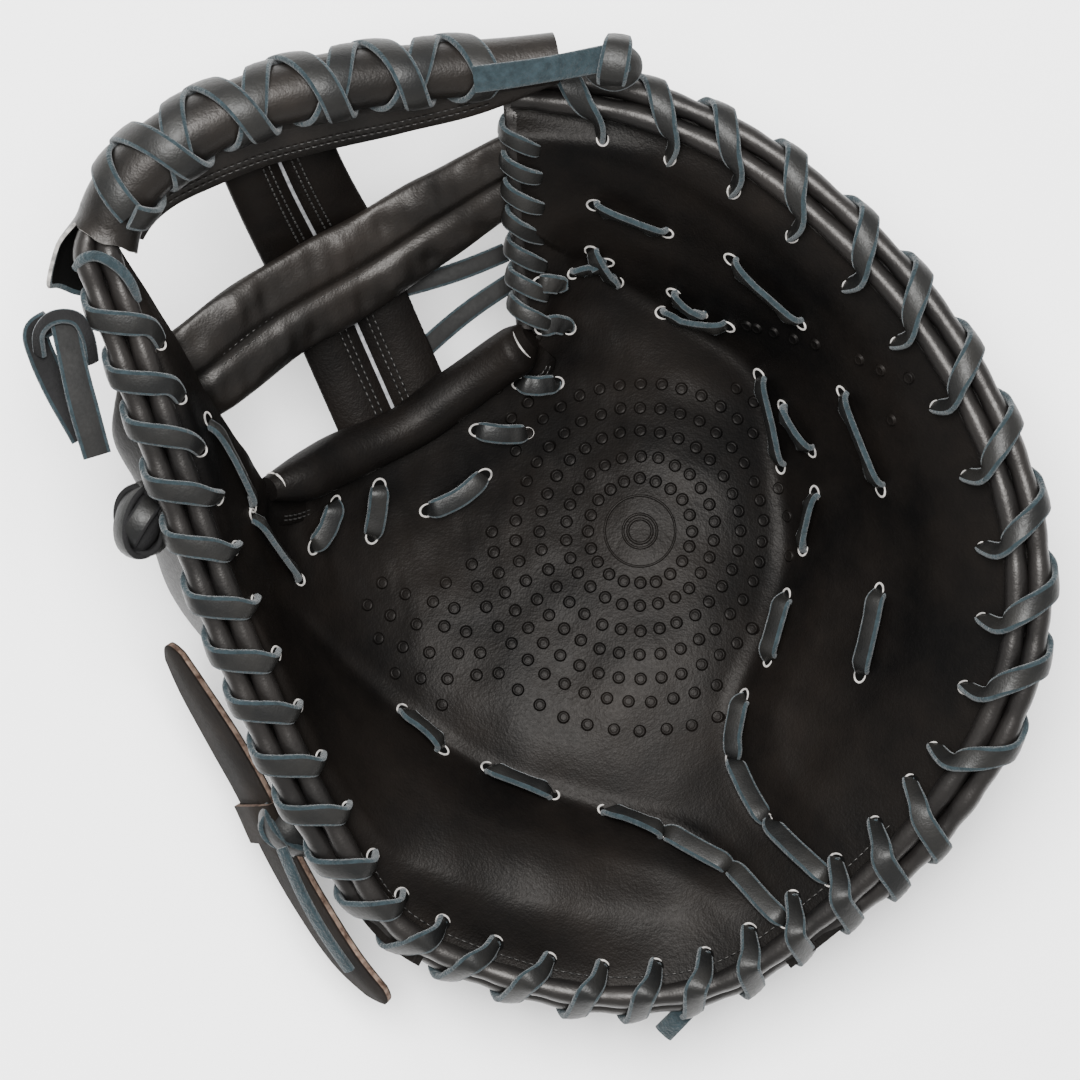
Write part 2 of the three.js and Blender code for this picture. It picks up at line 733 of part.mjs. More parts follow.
add("heel_rim_lace", laceSolid(heelLace, LACE_WIDTH, 0), LACE_LEATHER);

// Everything in the body, grown a little, for fitting the web and the straps to it.
const FIT = 1.5 * GAP;
const body = [
  ...[FIT, GAP / 4, 0].flatMap((margin) => [palmSolid(margin), fingerBack(margin), thumbBack(margin)]),
  rollSolid(-rollOffset, FIT),
  rollSolid(rollOffset, FIT),
  ...[fingerLace, heelLace].map((f) => laceSolid(f, LACE_WIDTH, FIT)),
];

// Web.
const barLaces = [barLace(1, 0), barLace(-1, 4 * GAP + LACE_THICKNESS)];
const barHoles = barLaces.map((f) => laceSolid(f, BAR_LACE_WIDTH, HOLE_CLEARANCE));
add("web_bar", trimmed(barSolid(0), ...barHoles, ...body), LEATHER);
add("inner_bar_lace", laceSolid(barLaces[0], BAR_LACE_WIDTH, 0), LACE_LEATHER);
add("outer_bar_lace", laceSolid(barLaces[1], BAR_LACE_WIDTH, 0), LACE_LEATHER);
add("web_band", trimmed(bandSolid(0), ...body), LEATHER);
add("crotch_band", trimmed(crotchSolid(0), ...body), LEATHER);
add(
  "web_post",
  trimmed(postSolid(0), barSolid(GAP), bandSolid(GAP), crotchSolid(GAP), ...barHoles, ...body),
  LEATHER,
);

// Straps across the wrist.
const ASIDE = new THREE.Vector3(-0.85, -0.5, 0.15);
const UP = new THREE.Vector3(0, 0, 1);
const wristStrap = strapSolid(WRIST_STRAP, 10, STRAP_WIDTH, UP, 0);
add("wrist_strap", trimmed(wristStrap, ...body), LEATHER);
add("pull_strap", trimmed(strapSolid(PULL_STRAP, 12, PULL_WIDTH, ASIDE, 0), ...body), LEATHER);

// Knots.
const pullStrap = strapSolid(PULL_STRAP, 12, PULL_WIDTH, ASIDE, GAP);
const knots = KNOTS.map((row) => knotSolid(point(row), KNOT_SIZE * row.size, row.turn));
KNOTS.forEach((row, i) =>
  add(row.name, trimmed(knots[i], pullStrap, barSolid(GAP), ...body), LACE_LEATHER),
);

// Lace ends.
const knotRoom = KNOTS.map((row) => knotSolid(point(row), KNOT_SIZE * row.size + GAP, row.turn));
const web = [barSolid(GAP), postSolid(GAP), bandSolid(GAP), ...barHoles];
const fixed = [pullStrap, ...web, ...knotRoom, ...body];
for (const row of LACE_ENDS) add(row.name, trimmed(endSolid(row), ...fixed), LACE_LEATHER);

// The part's frame: its origin is under the middle of the whole mitt.
const extent = new THREE.Box3().setFromObject(mitt);
const middle = extent.getCenter(new THREE.Vector3());
for (const mesh of mitt.children) mesh.position.set(-middle.x, -middle.y, -extent.min.z);

export default mitt;
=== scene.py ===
"""A first baseman's mitt for the left hand, lying on its back with the pocket up."""
import math
import bpy
import numpy as np
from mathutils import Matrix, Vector


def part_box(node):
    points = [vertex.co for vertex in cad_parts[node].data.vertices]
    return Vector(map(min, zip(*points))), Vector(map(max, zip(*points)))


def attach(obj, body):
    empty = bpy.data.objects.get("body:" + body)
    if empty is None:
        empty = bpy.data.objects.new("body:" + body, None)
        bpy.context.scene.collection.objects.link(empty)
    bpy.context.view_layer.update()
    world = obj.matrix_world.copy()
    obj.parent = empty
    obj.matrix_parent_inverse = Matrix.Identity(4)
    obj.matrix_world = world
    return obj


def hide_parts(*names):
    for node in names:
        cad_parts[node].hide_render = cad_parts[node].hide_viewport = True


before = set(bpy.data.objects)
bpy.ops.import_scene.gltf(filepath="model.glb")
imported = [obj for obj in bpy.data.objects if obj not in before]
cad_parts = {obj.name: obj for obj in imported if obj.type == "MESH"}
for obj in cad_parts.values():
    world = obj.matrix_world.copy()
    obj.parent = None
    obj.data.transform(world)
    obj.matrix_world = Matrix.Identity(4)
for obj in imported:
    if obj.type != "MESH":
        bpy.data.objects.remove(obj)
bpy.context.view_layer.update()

# Driving sizes in millimetres, the same as the solids' own.
HALF_WIDTH = 150.0
HALF_LENGTH = 150.0
DEPTH = 140.0
PALM_WALL = 6.0
PAD_LIFT = 5.0
PAD_SLOPE = 14.0
BACK_WALL = 3.5
HAND_SPACE = 56.0
GAP = 0.4
SEAM_MARGIN = 9.0
ROLL_RADIUS = 3.4
LACE_WIDTH = 7.0
LACE_THICKNESS = 1.8
HOLE_INSET = 6.0
FINGER_LACE_PITCH = 24.0
HEEL_LACE_PITCH = 18.5
BAR_RADIUS = 9.0
BAR_SKIRT = 14.0
BAR_LACE_PITCH = 22.0
BAR_LACE_WIDTH = 8.0
BAND_WIDTH = 33.0
BAND_PUFF = 4.6
CROTCH_RADIUS = 7.5
CROTCH_SKIRT = 9.0
POST_WIDTH = 36.0
POST_THICKNESS = 3.0
STRAP_WIDTH = 36.0
STRAP_THICKNESS = 3.0
PULL_WIDTH = 26.0
END_WIDTH = 8.5
END_THICKNESS = 2.0
CREASE_DEPTH = 1.7
CREASE_WIDTH = 2.8
DOT_RADIUS = 1.75
DOT_HEIGHT = 0.85
HOLE_RADIUS = 2.4
PIXEL = 0.3  # millimetres to a pixel of the photograph at the plane the camera is set for


def table(columns, rows):
    return {name: np.array([row[i] for row in rows], float) for i, name in enumerate(columns)}


SECTIONS = table(
    ["x", "y", "root", "h20", "h40", "h60", "h80", "rim", "hand", "mouth"],
    [
        [-0.05, 0.9, 0, 0.52, 0.56, 0.61, 0.67, 0.74, 0, 0.1],
        [0.2, 0.86, 0, 0.49, 0.51, 0.57, 0.66, 0.77, 0.3, 0.1],
        [0.44, 0.75, 0, 0.44, 0.46, 0.53, 0.64, 0.79, 0.48, 0.12],
        [0.68, 0.54, 0, 0.41, 0.4, 0.48, 0.63, 0.82, 0.62, 0.16],
        [0.84, 0.32, 0.06, 0.39, 0.36, 0.44, 0.62, 0.84, 0.78, 0.22],
        [0.94, 0.08, 0.14, 0.36, 0.34, 0.41, 0.61, 0.84, 0.7, 0.28],
        [0.96, -0.16, 0.22, 0.35, 0.31, 0.38, 0.57, 0.81, 0.7, 0.34],
        [0.9, -0.38, 0.3, 0.34, 0.3, 0.35, 0.52, 0.75, 0.7, 0.4],
        [0.77, -0.58, 0.38, 0.34, 0.29, 0.31, 0.45, 0.66, 0.72, 0.47],
        [0.59, -0.76, 0.46, 0.34, 0.29, 0.3, 0.4, 0.58, 0.75, 0.55],
        [0.37, -0.91, 0.54, 0.34, 0.3, 0.31, 0.39, 0.51, 0.8, 0.6],
        [0.12, -0.94, 0.62, 0.35, 0.31, 0.32, 0.43, 0.48, 0.8, 0.62],
        [-0.13, -0.88, 0.7, 0.36, 0.33, 0.36, 0.46, 0.48, 1.05, 0.6],
        [-0.31, -0.78, 0.79, 0.4, 0.38, 0.41, 0.49, 0.53, 1.2, 0.52],
        [-0.435, -0.575, 0.88, 0.46, 0.45, 0.47, 0.54, 0.63, 1.15, 0.36],
        [-0.54, -0.355, 0.96, 0.53, 0.53, 0.56, 0.62, 0.72, 1.2, 0.24],
        [-0.63, -0.13, 1, 0.62, 0.65, 0.69, 0.74, 0.8, 0.85, 0.15],
        [-0.71, 0.1, 1, 0.66, 0.71, 0.76, 0.82, 0.87, 0.6, 0.12],
        [-0.785, 0.325, 1, 0.69, 0.75, 0.81, 0.88, 0.94, 0.5, 0.1],
        [-0.865, 0.555, 1, 0.7, 0.77, 0.84, 0.91, 0.99, 0, 0.1],
    ],
)
LAST = len(SECTIONS["x"]) - 1
FINGER_BACK_END = 9.5
THUMB_BACK_START = 12.5
LACES_MEET = 7.45

CROTCH = table(
    ["x", "y", "height"],
    [
        [-0.02, 0.41, 0.49],
        [-0.09, 0.365, 0.46],
        [-0.18, 0.3, 0.44],
        [-0.28, 0.23, 0.44],
        [-0.42, 0.165, 0.49],
        [-0.54, 0.1, 0.61],
    ],
)
HEEL_PAD_EDGE = np.array(
    [
        [-0.6, -0.05],
        [-0.3, -0.33],
        [-0.1, -0.47],
        [0.14, -0.55],
        [0.32, -0.6],
        [0.46, -0.74],
        [0.55, -0.98],
    ]
)
FINGER_PAD_EDGE = np.array(
    [
        [0.08, 0.56],
        [0.3, 0.44],
        [0.44, 0.33],
        [0.48, 0.16],
        [0.5, -0.02],
        [0.46, -0.18],
        [0.39, -0.36],
        [0.44, -0.54],
        [0.57, -0.68],
        [0.72, -0.86],
    ]
)
WEB_COLUMNS = ["x", "y", "height", "size", "skirt"]
BAR = table(
    WEB_COLUMNS,
    [
        [-0.885, 0.56, 0.93, 1.4, 0.1],
        [-0.83, 0.665, 0.965, 1.2, 0.4],
        [-0.725, 0.77, 0.985, 1.1, 0.8],
        [-0.585, 0.845, 0.97, 1, 1],
        [-0.43, 0.89, 0.935, 1, 1],
        [-0.275, 0.915, 0.895, 0.95, 0.9],
        [-0.12, 0.93, 0.855, 0.9, 0.6],
        [0.03, 0.95, 0.83, 0.85, 0.15],
    ],
)
BAND = table(
    WEB_COLUMNS,
    [
        [-0.73, 0.3, 0.63, 1.02, 0],
        [-0.66, 0.35, 0.65, 1.04, 0],
        [-0.53, 0.45, 0.615, 1.04, 0],
        [-0.36, 0.55, 0.57, 1, 0],
        [-0.22, 0.64, 0.57, 0.93, 0],
        [-0.12, 0.7, 0.61, 0.85, 0],
        [-0.03, 0.75, 0.64, 0.78, 0],
    ],
)
POST = table(
    WEB_COLUMNS,
    [
        [-0.55, 0.83, 0.89, 0.95, 0],
        [-0.49, 0.69, 0.73, 0.96, 0],
        [-0.42, 0.55, 0.525, 1, 0],
        [-0.36, 0.41, 0.45, 1, 0],
        [-0.29, 0.25, 0.4, 1, 0],
    ],
)
WRIST_STRAP = table(
    WEB_COLUMNS,
    [
        [-0.36, -0.5, 0.03, 1, 0],
        [-0.18, -0.535, 0.013, 1, 0],
        [0.02, -0.55, 0.013, 1, 0],
        [0.22, -0.545, 0.013, 1, 0],
        [0.42, -0.52, 0.03, 1, 0],
    ],
)
PULL_STRAP = table(
    WEB_COLUMNS,
    [
        [-0.75, -0.21, 0.4, 0.45, 0],
        [-0.7, -0.3, 0.39, 0.8, 0],
        [-0.635, -0.41, 0.37, 1, 0],
        [-0.575, -0.52, 0.35, 1, 0],
        [-0.525, -0.63, 0.33, 1, 0],
        [-0.465, -0.74, 0.3, 1, 0],
        [-0.39, -0.855, 0.27, 0.9, 0],
        [-0.31, -0.94, 0.25, 0.5, 0],
    ],
)
# Lace ends: the node's name, its start and its tip as shares, its width, the way
# its face is turned, whether the suede is up, and how far it bows, in millimetres.
LACE_ENDS = [
    ["finger_lace_end", (0.13, 0.945, 0.915), (-0.13, 0.9, 0.96), 0.95, (0, -0.2, 1), True, -0.6],
    ["thumb_lace_end", (-0.93, 0.43, 0.97), (-0.865, 0.165, 0.97), 1.0, (0.15, 0, 1), False, 0.5],
    ["web_lace_end_upper", (-0.27, 0.51, 0.45), (-0.07, 0.58, 0.43), 0.7, (0, 0, 1), False, 0.8],
    ["web_lace_end_lower", (-0.23, 0.39, 0.4), (-0.06, 0.52, 0.4), 0.7, (0, 0, 1), False, -0.8],
    ["strap_lace_end", (-0.52, -0.62, 0.45), (-0.385, -0.87, 0.38), 0.46, (-0.6, -0.3, 0.7), True, 1.5],
    ["heel_lace_end", (0.31, -0.93, 0.44), (0.25, -0.995, 0.4), 0.75, (0, 0, 1), True, 0],
]
SIZE = np.array([HALF_WIDTH, HALF_LENGTH, DEPTH])
Z = np.array([0.0, 0.0, 1.0])
rng = np.random.default_rng(12)


# Curves and surfaces in millimetres, in the design's own frame.
def eased_values(values, place):
    """values[k] eased through its rows at place; values may be a list of arrays."""
    values = np.asarray(values, float)
    place = np.asarray(place, float)
    last = len(values) - 1
    i = np.clip(np.floor(place).astype(int), 0, last - 1)
    f = place - i

    def at(k):
        k = np.clip(k, 0, last)
        if values.ndim == 1:
            return values[k]
        return np.take_along_axis(values, np.broadcast_to(k, values.shape[1:])[None], 0)[0]

    a, b, c, d = at(i - 1), at(i), at(i + 1), at(i + 2)
    return b + f * (c - a + f * (2 * a - 5 * b + 4 * c - d + f * (3 * (b - c) + d - a))) / 2


def eased(rows, column, place):
    return eased_values(rows[column], place)


def points_of(rows, place):
    return np.stack([eased(rows, c, place) for c in ("x", "y", "height")], -1) * SIZE


def unit(v):
    return v / np.maximum(np.linalg.norm(v, axis=-1, keepdims=True), 1e-9)


def smooth(x):
    f = np.clip(x, 0, 1)
    return f * f * (3 - 2 * f)


def seam(place):
    """The rim's seam with its tangent, outward and upward directions."""
    def at(p):
        return np.stack([eased(SECTIONS, c, p) for c in ("x", "y", "rim")], -1) * SIZE

    step = 0.02
    along = unit(at(place + step) - at(place - step))
    out = unit(np.stack([-along[..., 1], along[..., 0], np.zeros_like(along[..., 0])], -1))
    return at(place), along, out, np.cross(along, out)


def seam_point(place, out, up):
    at, _, o, u = seam(place)
    return at + o * np.asarray(out)[..., None] + u * np.asarray(up)[..., None]


def palm(place, share):
    place, share = np.broadcast_arrays(np.asarray(place, float), np.asarray(share, float))
    ones = np.ones_like(place)
    rim = seam_point(place, -2 * ROLL_RADIUS * ones, -(ROLL_RADIUS + GAP) * ones)
    start = points_of(CROTCH, eased(SECTIONS, "root", place) * (len(CROTCH["x"]) - 1))
    heights = [start[..., 2] / DEPTH]
    heights += [eased(SECTIONS, name, place) for name in ("h20", "h40", "h60", "h80")]
    heights += [rim[..., 2] / DEPTH]
    p = start + (rim - start) * share[..., None]
    p[..., 2] = eased_values(np.stack(heights), share * 5) * DEPTH
    return p


def palm_normal(place, share):
    step = 0.03
    s = np.maximum(share, 2 * step)
    across = palm(place, s + step) - palm(place, s - step)
    along = palm(place + step, s) - palm(place - step, s)
    return unit(np.cross(along, across))


def wall_normal(place, share):
    turned = smooth((share - 0.86) / 0.14)[..., None]
    level = -seam(place)[2]
    return unit(palm_normal(place, share) * (1 - turned) + level * turned)


def under(place, share, depth, floor=None):
    place, share = np.broadcast_arrays(np.asarray(place, float), np.asarray(share, float))
    p = palm(place, share) - wall_normal(place, share) * np.asarray(depth)[..., None]
    if floor is not None:
        p[..., 2] = np.maximum(p[..., 2], floor)
    return p


def reach_of(place):
    place = np.asarray(place, float)
    return np.linalg.norm(palm(place, 0 * place) - palm(place, 0 * place + 1), axis=-1)


def room_at(place, share):
    sewn = SEAM_MARGIN / reach_of(place)
    opened = np.clip((1 - share - sewn) / (0.45 - sewn), 0, 1)
    stall = (2 * eased(SECTIONS, "root", place) - 1) ** 4
    shut = 1 - stall * (1 - smooth((share - eased(SECTIONS, "mouth", place)) / 0.25))
    return HAND_SPACE * eased(SECTIONS, "hand", place) * np.sin(opened * np.pi / 2) * shut


def back(place, share, depth, floor):
    down = np.clip(2.2 - 2 * eased(SECTIONS, "rim", place), 0, 1)[..., None]
    way = unit(wall_normal(place, share) * (1 - down) + Z * down)
    p = under(place, share, PALM_WALL + 2 * GAP + depth)
    p = p - way * room_at(place, share)[..., None]
    p[..., 2] = np.maximum(p[..., 2], floor)
    return p


def beyond_edge(edge, x, y, side):
    """Signed distance of plan points from a pad's edge line, positive on the pad."""
    fine = np.linspace(0, len(edge) - 1, 5 * (len(edge) - 1) + 1)
    line = np.stack([eased_values(edge[:, k], fine) for k in (0, 1)], -1)
    line = line * [HALF_WIDTH, HALF_LENGTH]
    nearest = np.full(x.shape, np.inf)
    signed = np.zeros(x.shape)
    for (ax, ay), (bx, by) in zip(line[:-1], line[1:]):
        dx, dy = bx - ax, by - ay
        f = np.clip(((x - ax) * dx + (y - ay) * dy) / (dx * dx + dy * dy), 0, 1)
        reach = np.hypot(x - ax - f * dx, y - ay - f * dy)
        sign = np.sign(dx * (y - ay) - dy * (x - ax)) * side
        closer = reach < nearest
        signed = np.where(closer, reach * sign, signed)
        nearest = np.minimum(nearest, reach)
    return signed


def lumps(p, size, seed):
    """Soft pseudo-random height between -1 and 1 with lumps of the given size."""
    r = np.random.default_rng(seed)
    total = np.zeros(p.shape[:-1])
    for _ in range(7):
        wave = r.normal(size=3)
        wave *= 2 * np.pi / size / np.linalg.norm(wave)
        total += np.sin(p @ wave + r.uniform(0, 2 * np.pi))
    return total / 4


def palm_face(place, share):
    """The palm's leather with its pads, sewn creases and soft folds."""
    p = palm(place, share)
    x, y = p[..., 0], p[..., 1]
    fade = smooth((1 - share) / 0.15)
    heel = beyond_edge(HEEL_PAD_EDGE, x, y, -1)
    finger = beyond_edge(FINGER_PAD_EDGE, x, y, 1)
    lift = PAD_LIFT * np.maximum(smooth(heel / PAD_SLOPE), smooth(finger / PAD_SLOPE))
    crease = np.exp(-((heel / CREASE_WIDTH) ** 2)) + np.exp(-((finger / CREASE_WIDTH) ** 2))
    p[..., 2] += fade * (lift - CREASE_DEPTH * np.minimum(crease, 1))
    n = wall_normal(place, share)
    calm = smooth(share / 0.1) * fade
    soft = 0.6 * lumps(p, 62, 3) + 0.34 * lumps(p, 28, 4) + 0.14 * lumps(p, 13, 5)
    near = smooth((0.45 - share) / 0.35)
    soft += near * (0.3 * lumps(p * [1.6, 0.7, 1], 12, 6) + 0.14 * lumps(p * [1.8, 0.6, 1], 6, 7))
    return p + n * (calm * soft)[..., None]


# Where the design's frame lies in the part's frame, from a piece that both have.
def hexagon(radius):
    angles = 2 * np.pi * (np.arange(6) + 0.5) / 6
    return radius * np.cos(angles), radius * np.sin(angles)


places = np.linspace(0, LAST, 2 * LAST + 1)[:, None]
side, up = hexagon(ROLL_RADIUS)
roll = seam_point(places + 0 * side, -(ROLL_RADIUS + GAP / 2) + side + 0 * places, up + 0 * places)
roll_low, roll_high = roll.min((0, 1)), roll.max((0, 1))
low, high = (np.array(c) * 1000 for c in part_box("inner_rim_roll"))
SHIFT = (low + high) / 2 - (roll_low + roll_high) / 2
print("shift", SHIFT, "mismatch", (high - low) - (roll_high - roll_low))


def to_part(points):
    return (np.asarray(points) + SHIFT) / 1000


# Materials.
def new_material(name, dark, light, roughness, grain=0.3, grain_size=1500, patch=24, sheen=0.0,
                 specular=0.3, depth=0.0002, tint=(1, 0.96, 0.92)):
    """Leather and its like: pores and creases in the bump, tone and gloss that vary in patches."""
    m = bpy.data.materials.new(name)
    m.use_nodes = True
    nodes, links = m.node_tree.nodes, m.node_tree.links
    shader = nodes["Principled BSDF"]
    shader.inputs["Specular IOR Level"].default_value = specular
    shader.inputs["Specular Tint"].default_value = (*tint, 1)
    shader.inputs["Sheen Weight"].default_value = sheen
    shader.inputs["Sheen Roughness"].default_value = 0.6
    place = nodes.new("ShaderNodeTexCoord")
    pores = nodes.new("ShaderNodeTexVoronoi")
    pores.inputs["Scale"].default_value = grain_size
    fine = nodes.new("ShaderNodeTexNoise")
    fine.inputs["Scale"].default_value = grain_size * 0.6
    fine.inputs["Detail"].default_value = 5
    crease = nodes.new("ShaderNodeTexNoise")
    crease.inputs["Scale"].default_value = grain_size * 0.12
    crease.inputs["Detail"].default_value = 3
    crease.inputs["Distortion"].default_value = 1.5
    broad = nodes.new("ShaderNodeTexNoise")
    broad.inputs["Scale"].default_value = patch
    broad.inputs["Detail"].default_value = 6
    broad.inputs["Roughness"].default_value = 0.6
    for texture in (pores, fine, crease, broad):
        links.new(place.outputs["Object"], texture.inputs["Vector"])
    first = nodes.new("ShaderNodeMath")
    first.operation = "MULTIPLY_ADD"
    first.inputs[1].default_value = 0.5
    second = nodes.new("ShaderNodeMath")
    second.operation = "MULTIPLY_ADD"
    second.inputs[1].default_value = 1.2
    bump = nodes.new("ShaderNodeBump")
    bump.inputs["Strength"].default_value = grain
    bump.inputs["Distance"].default_value = depth
    links.new(pores.outputs["Distance"], first.inputs[0])
    links.new(fine.outputs["Fac"], first.inputs[2])
    links.new(crease.outputs["Fac"], second.inputs[0])
    links.new(first.outputs[0], second.inputs[2])
    links.new(second.outputs[0], bump.inputs["Height"])
    links.new(bump.outputs["Normal"], shader.inputs["Normal"])
    tone = nodes.new("ShaderNodeValToRGB")
    tone.color_ramp.elements[0].color = (*dark, 1)
    tone.color_ramp.elements[0].position = 0.35
    tone.color_ramp.elements[1].color = (*light, 1)
    tone.color_ramp.elements[1].position = 0.68
    links.new(broad.outputs["Fac"], tone.inputs["Fac"])
    links.new(tone.outputs["Color"], shader.inputs["Base Color"])
    rough = nodes.new("ShaderNodeMapRange")
    rough.inputs["To Min"].default_value = roughness - 0.1
    rough.inputs["To Max"].default_value = roughness + 0.12
    links.new(fine.outputs["Fac"], rough.inputs["Value"])
    links.new(rough.outputs["Result"], shader.inputs["Roughness"])
    return m


LEATHER = new_material("black_leather", (0.0016, 0.0015, 0.0015), (0.0055, 0.0044, 0.0037), 0.44,
                       grain=0.45, specular=0.07)
WEB = new_material("web_leather", (0.0025, 0.0024, 0.0023), (0.009, 0.0072, 0.006), 0.42,
                   grain=0.4, specular=0.22)
ROLLED = new_material("rolled_leather", (0.0035, 0.0033, 0.0033), (0.0085, 0.0074, 0.0068), 0.38,
                      grain=0.3, specular=0.28)
LACE = new_material("lace_grain", (0.0045, 0.0047, 0.0048), (0.0105, 0.01, 0.0092), 0.42,
                    grain=0.35, patch=60, specular=0.2, tint=(1, 1, 0.98))
END = new_material("lace_end_grain", (0.005, 0.005, 0.005), (0.0095, 0.0092, 0.0088), 0.6,
                   grain=0.2, patch=60, specular=0.1, tint=(1, 1, 0.98))
SUEDE = new_material("lace_suede", (0.0065, 0.012, 0.0145), (0.014, 0.024, 0.0285), 0.95, grain=1.0,
                     patch=420, sheen=0.15, specular=0.05, depth=0.0004)
RAW = new_material("raw_edge", (0.13, 0.125, 0.12), (0.42, 0.4, 0.375), 0.9, grain=0.8, patch=300,
                   specular=0.15)
LINING = new_material("back_lining", (0.005, 0.005, 0.0052), (0.01, 0.01, 0.0105), 0.8,
                      grain=0.9, specular=0.1)
STRAP = new_material("strap_leather", (0.004, 0.0033, 0.0028), (0.011, 0.0085, 0.0068), 0.75,
                     grain=0.5, patch=50, specular=0.05)
THREAD = new_material("thread", (0.004, 0.004, 0.004), (0.014, 0.0135, 0.013), 0.4, grain=0.6,
                      patch=900, specular=0.28)
PALE_THREAD = new_material("post_seam", (0.1, 0.105, 0.11), (0.24, 0.24, 0.25), 0.8, patch=500)
TAN = new_material("strap_edge", (0.03, 0.017, 0.012), (0.16, 0.115, 0.09), 0.85, grain=0.8,
                   patch=350, specular=0.1)
# Painted shade: a near-black material for the dark of the lace holes and of the inside of the bar's open
# end.
HOLE_SHADE = new_material("hole", (0.001, 0.001, 0.001), (0.002, 0.002, 0.002), 0.9, specular=0.05)


# Mesh building.
def make(name, vertices, faces, materials, indices=None, slot="leather", node=None, smooth_faces=True):
    mesh = bpy.data.meshes.new(name)
    mesh.from_pydata(to_part(vertices).tolist(), [], faces)
    for material in materials:
        mesh.materials.append(material)
    if indices is not None:
        mesh.polygons.foreach_set("material_index", np.asarray(indices, np.int32))
    mesh.polygons.foreach_set("use_smooth", [smooth_faces] * len(mesh.polygons))
    mesh.update()
    obj = bpy.data.objects.new(name, mesh)
    bpy.context.scene.collection.objects.link(obj)
    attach(obj, "root")
    if node:
        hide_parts(*([node] if isinstance(node, str) else node))
    return obj


class Builder:
    """Collects pieces of mesh into one object."""

    def __init__(self):
        self.points, self.faces, self.kinds, self.count = [], [], [], 0

    def grid(self, p, kind=0, close=False, flip=False, kinds=None):
        """p is rows by columns; close joins the last column to the first."""
        rows, columns = p.shape[:2]
        base = self.count
        self.points.append(p.reshape(-1, 3))
        self.count += rows * columns
        wide = columns if close else columns - 1
        i, j = np.meshgrid(np.arange(rows - 1), np.arange(wide), indexing="ij")
        k = (j + 1) % columns
        quad = np.stack([i * columns + j, (i + 1) * columns + j, (i + 1) * columns + k,
                         i * columns + k], -1).reshape(-1, 4) + base
        self.faces += (quad[:, ::-1] if flip else quad).tolist()
        self.kinds += (np.tile(kinds, rows - 1) if kinds is not None
                       else np.full(len(quad), kind)).tolist()
        return base

    def fan(self, ring, kind=0, flip=False):
        base = self.count
        self.points.append(ring)
        self.count += len(ring)
        face = list(range(base, base + len(ring)))
        self.faces.append(face[::-1] if flip else face)
        self.kinds.append(kind)

    def build(self, name, materials, **more):
        return make(name, np.concatenate(self.points), self.faces, materials, self.kinds, **more)


def frames_along(points, facing):
    """Frames for a sweep: side and up directions at each point."""
    along = unit(np.gradient(points, axis=0))
    facing = np.broadcast_to(facing, points.shape)
    up = unit(facing - along * np.sum(facing * along, -1, keepdims=True))
    return along, np.cross(along, up), up


def sweep(builder, points, sides, ups, outline, kinds=None, kind=0, caps=True, cap_kind=None):
    """outline is sections by (side, up) pairs, one section or one for each point."""
    outline = np.asarray(outline, float)
    if outline.ndim == 2:
        outline = np.broadcast_to(outline, (len(points), *outline.shape))
    p = (points[:, None] + sides[:, None] * outline[..., :1] + ups[:, None] * outline[..., 1:])
    builder.grid(p, kind=kind, close=True, kinds=kinds)
    if caps:
        cap = kind if cap_kind is None else cap_kind
        builder.fan(p[0], cap)
        builder.fan(p[-1], cap, flip=True)
    return p


def rounded_strip(width, thickness, crown=0.25):
    """A lace's section with slightly crowned grain face; returns points and material kinds."""
    w, t = width / 2, thickness / 2
    outline = [(-w, -0.55 * t), (-0.8 * w, -t), (0, -t), (0.8 * w, -t), (w, -0.55 * t),
               (w, 0.35 * t), (0.93 * w, 0.85 * t), (0.75 * w, t), (0.35 * w, t * (1 + crown)),
               (-0.35 * w, t * (1 + crown)), (-0.75 * w, t), (-0.93 * w, 0.85 * t), (-w, 0.35 * t)]
    kinds = [1, 1, 1, 1, 1, 1, 1, 0, 0, 0, 1, 1, 1]
    return outline, kinds


def refine(points, extra, steps):
    """Catmull-Rom through points and the directions that go with them."""
    place = np.linspace(0, len(points) - 1, (len(points) - 1) * steps + 1)
    fine = np.stack([eased_values(points[:, k], place) for k in range(3)], -1)
    more = np.stack([eased_values(extra[:, k], place) for k in range(3)], -1)
    return fine, unit(more)


# The palm: its face, its lining below and the wall between them along every edge.
def build_palm():
    u = np.linspace(0, LAST, LAST * 24 + 1)[:, None]
    t = np.concatenate([np.linspace(0.04, 0.9, 92), np.linspace(0.91, 1, 9)])[None]
    u, t = np.broadcast_arrays(u, t)
    face = palm_face(u, t)
    lining = under(u[::4, ::4], t[::4, ::4], PALM_WALL)
    b = Builder()
    b.grid(face)
    b.grid(lining, kind=1, flip=True)
    lower = under(u, t, PALM_WALL)
    for edge, other, flip in ((face[0], lower[0], True), (face[-1], lower[-1], False),
                              (face[:, 0], lower[:, 0], False), (face[:, -1], lower[:, -1], True)):
        middle = (edge + other) / 2 + 0.0
        b.grid(np.stack([edge, middle, other]), flip=flip)
    piece = b.build("palm_leather", [LEATHER, LINING], node="palm")


def build_back(name, start, end, node):
    steps = int((end - start) * 12)
    u = np.linspace(start, end, steps + 1)[:, None]
    f = np.linspace(0, 1, 44)[None]
    mouth = eased(SECTIONS, "mouth", u)
    t = mouth + (1 - mouth) * f
    u, t = np.broadcast_arrays(u, t)
    outer = back(u, t, BACK_WALL * np.ones_like(t), 0.0)
    inner = back(u, t, 0 * t, BACK_WALL)
    b = Builder()
    b.grid(outer, flip=True)
    b.grid(inner, kind=1)
    for a, c, flip in ((outer[0], inner[0], False), (outer[-1], inner[-1], True),
                       (outer[:, 0], inner[:, 0], True), (outer[:, -1], inner[:, -1], False)):
        b.grid(np.stack([a, c]), flip=flip)
    b.build(name, [LEATHER, LINING], node=node)


def tuck_at(place):
    """How far the outer roll turns down under the inner one round the heel, in radians."""
    return 1.25 * smooth((np.asarray(place) - 7.6) / 1.9) * smooth((14.6 - place) / 1.9)


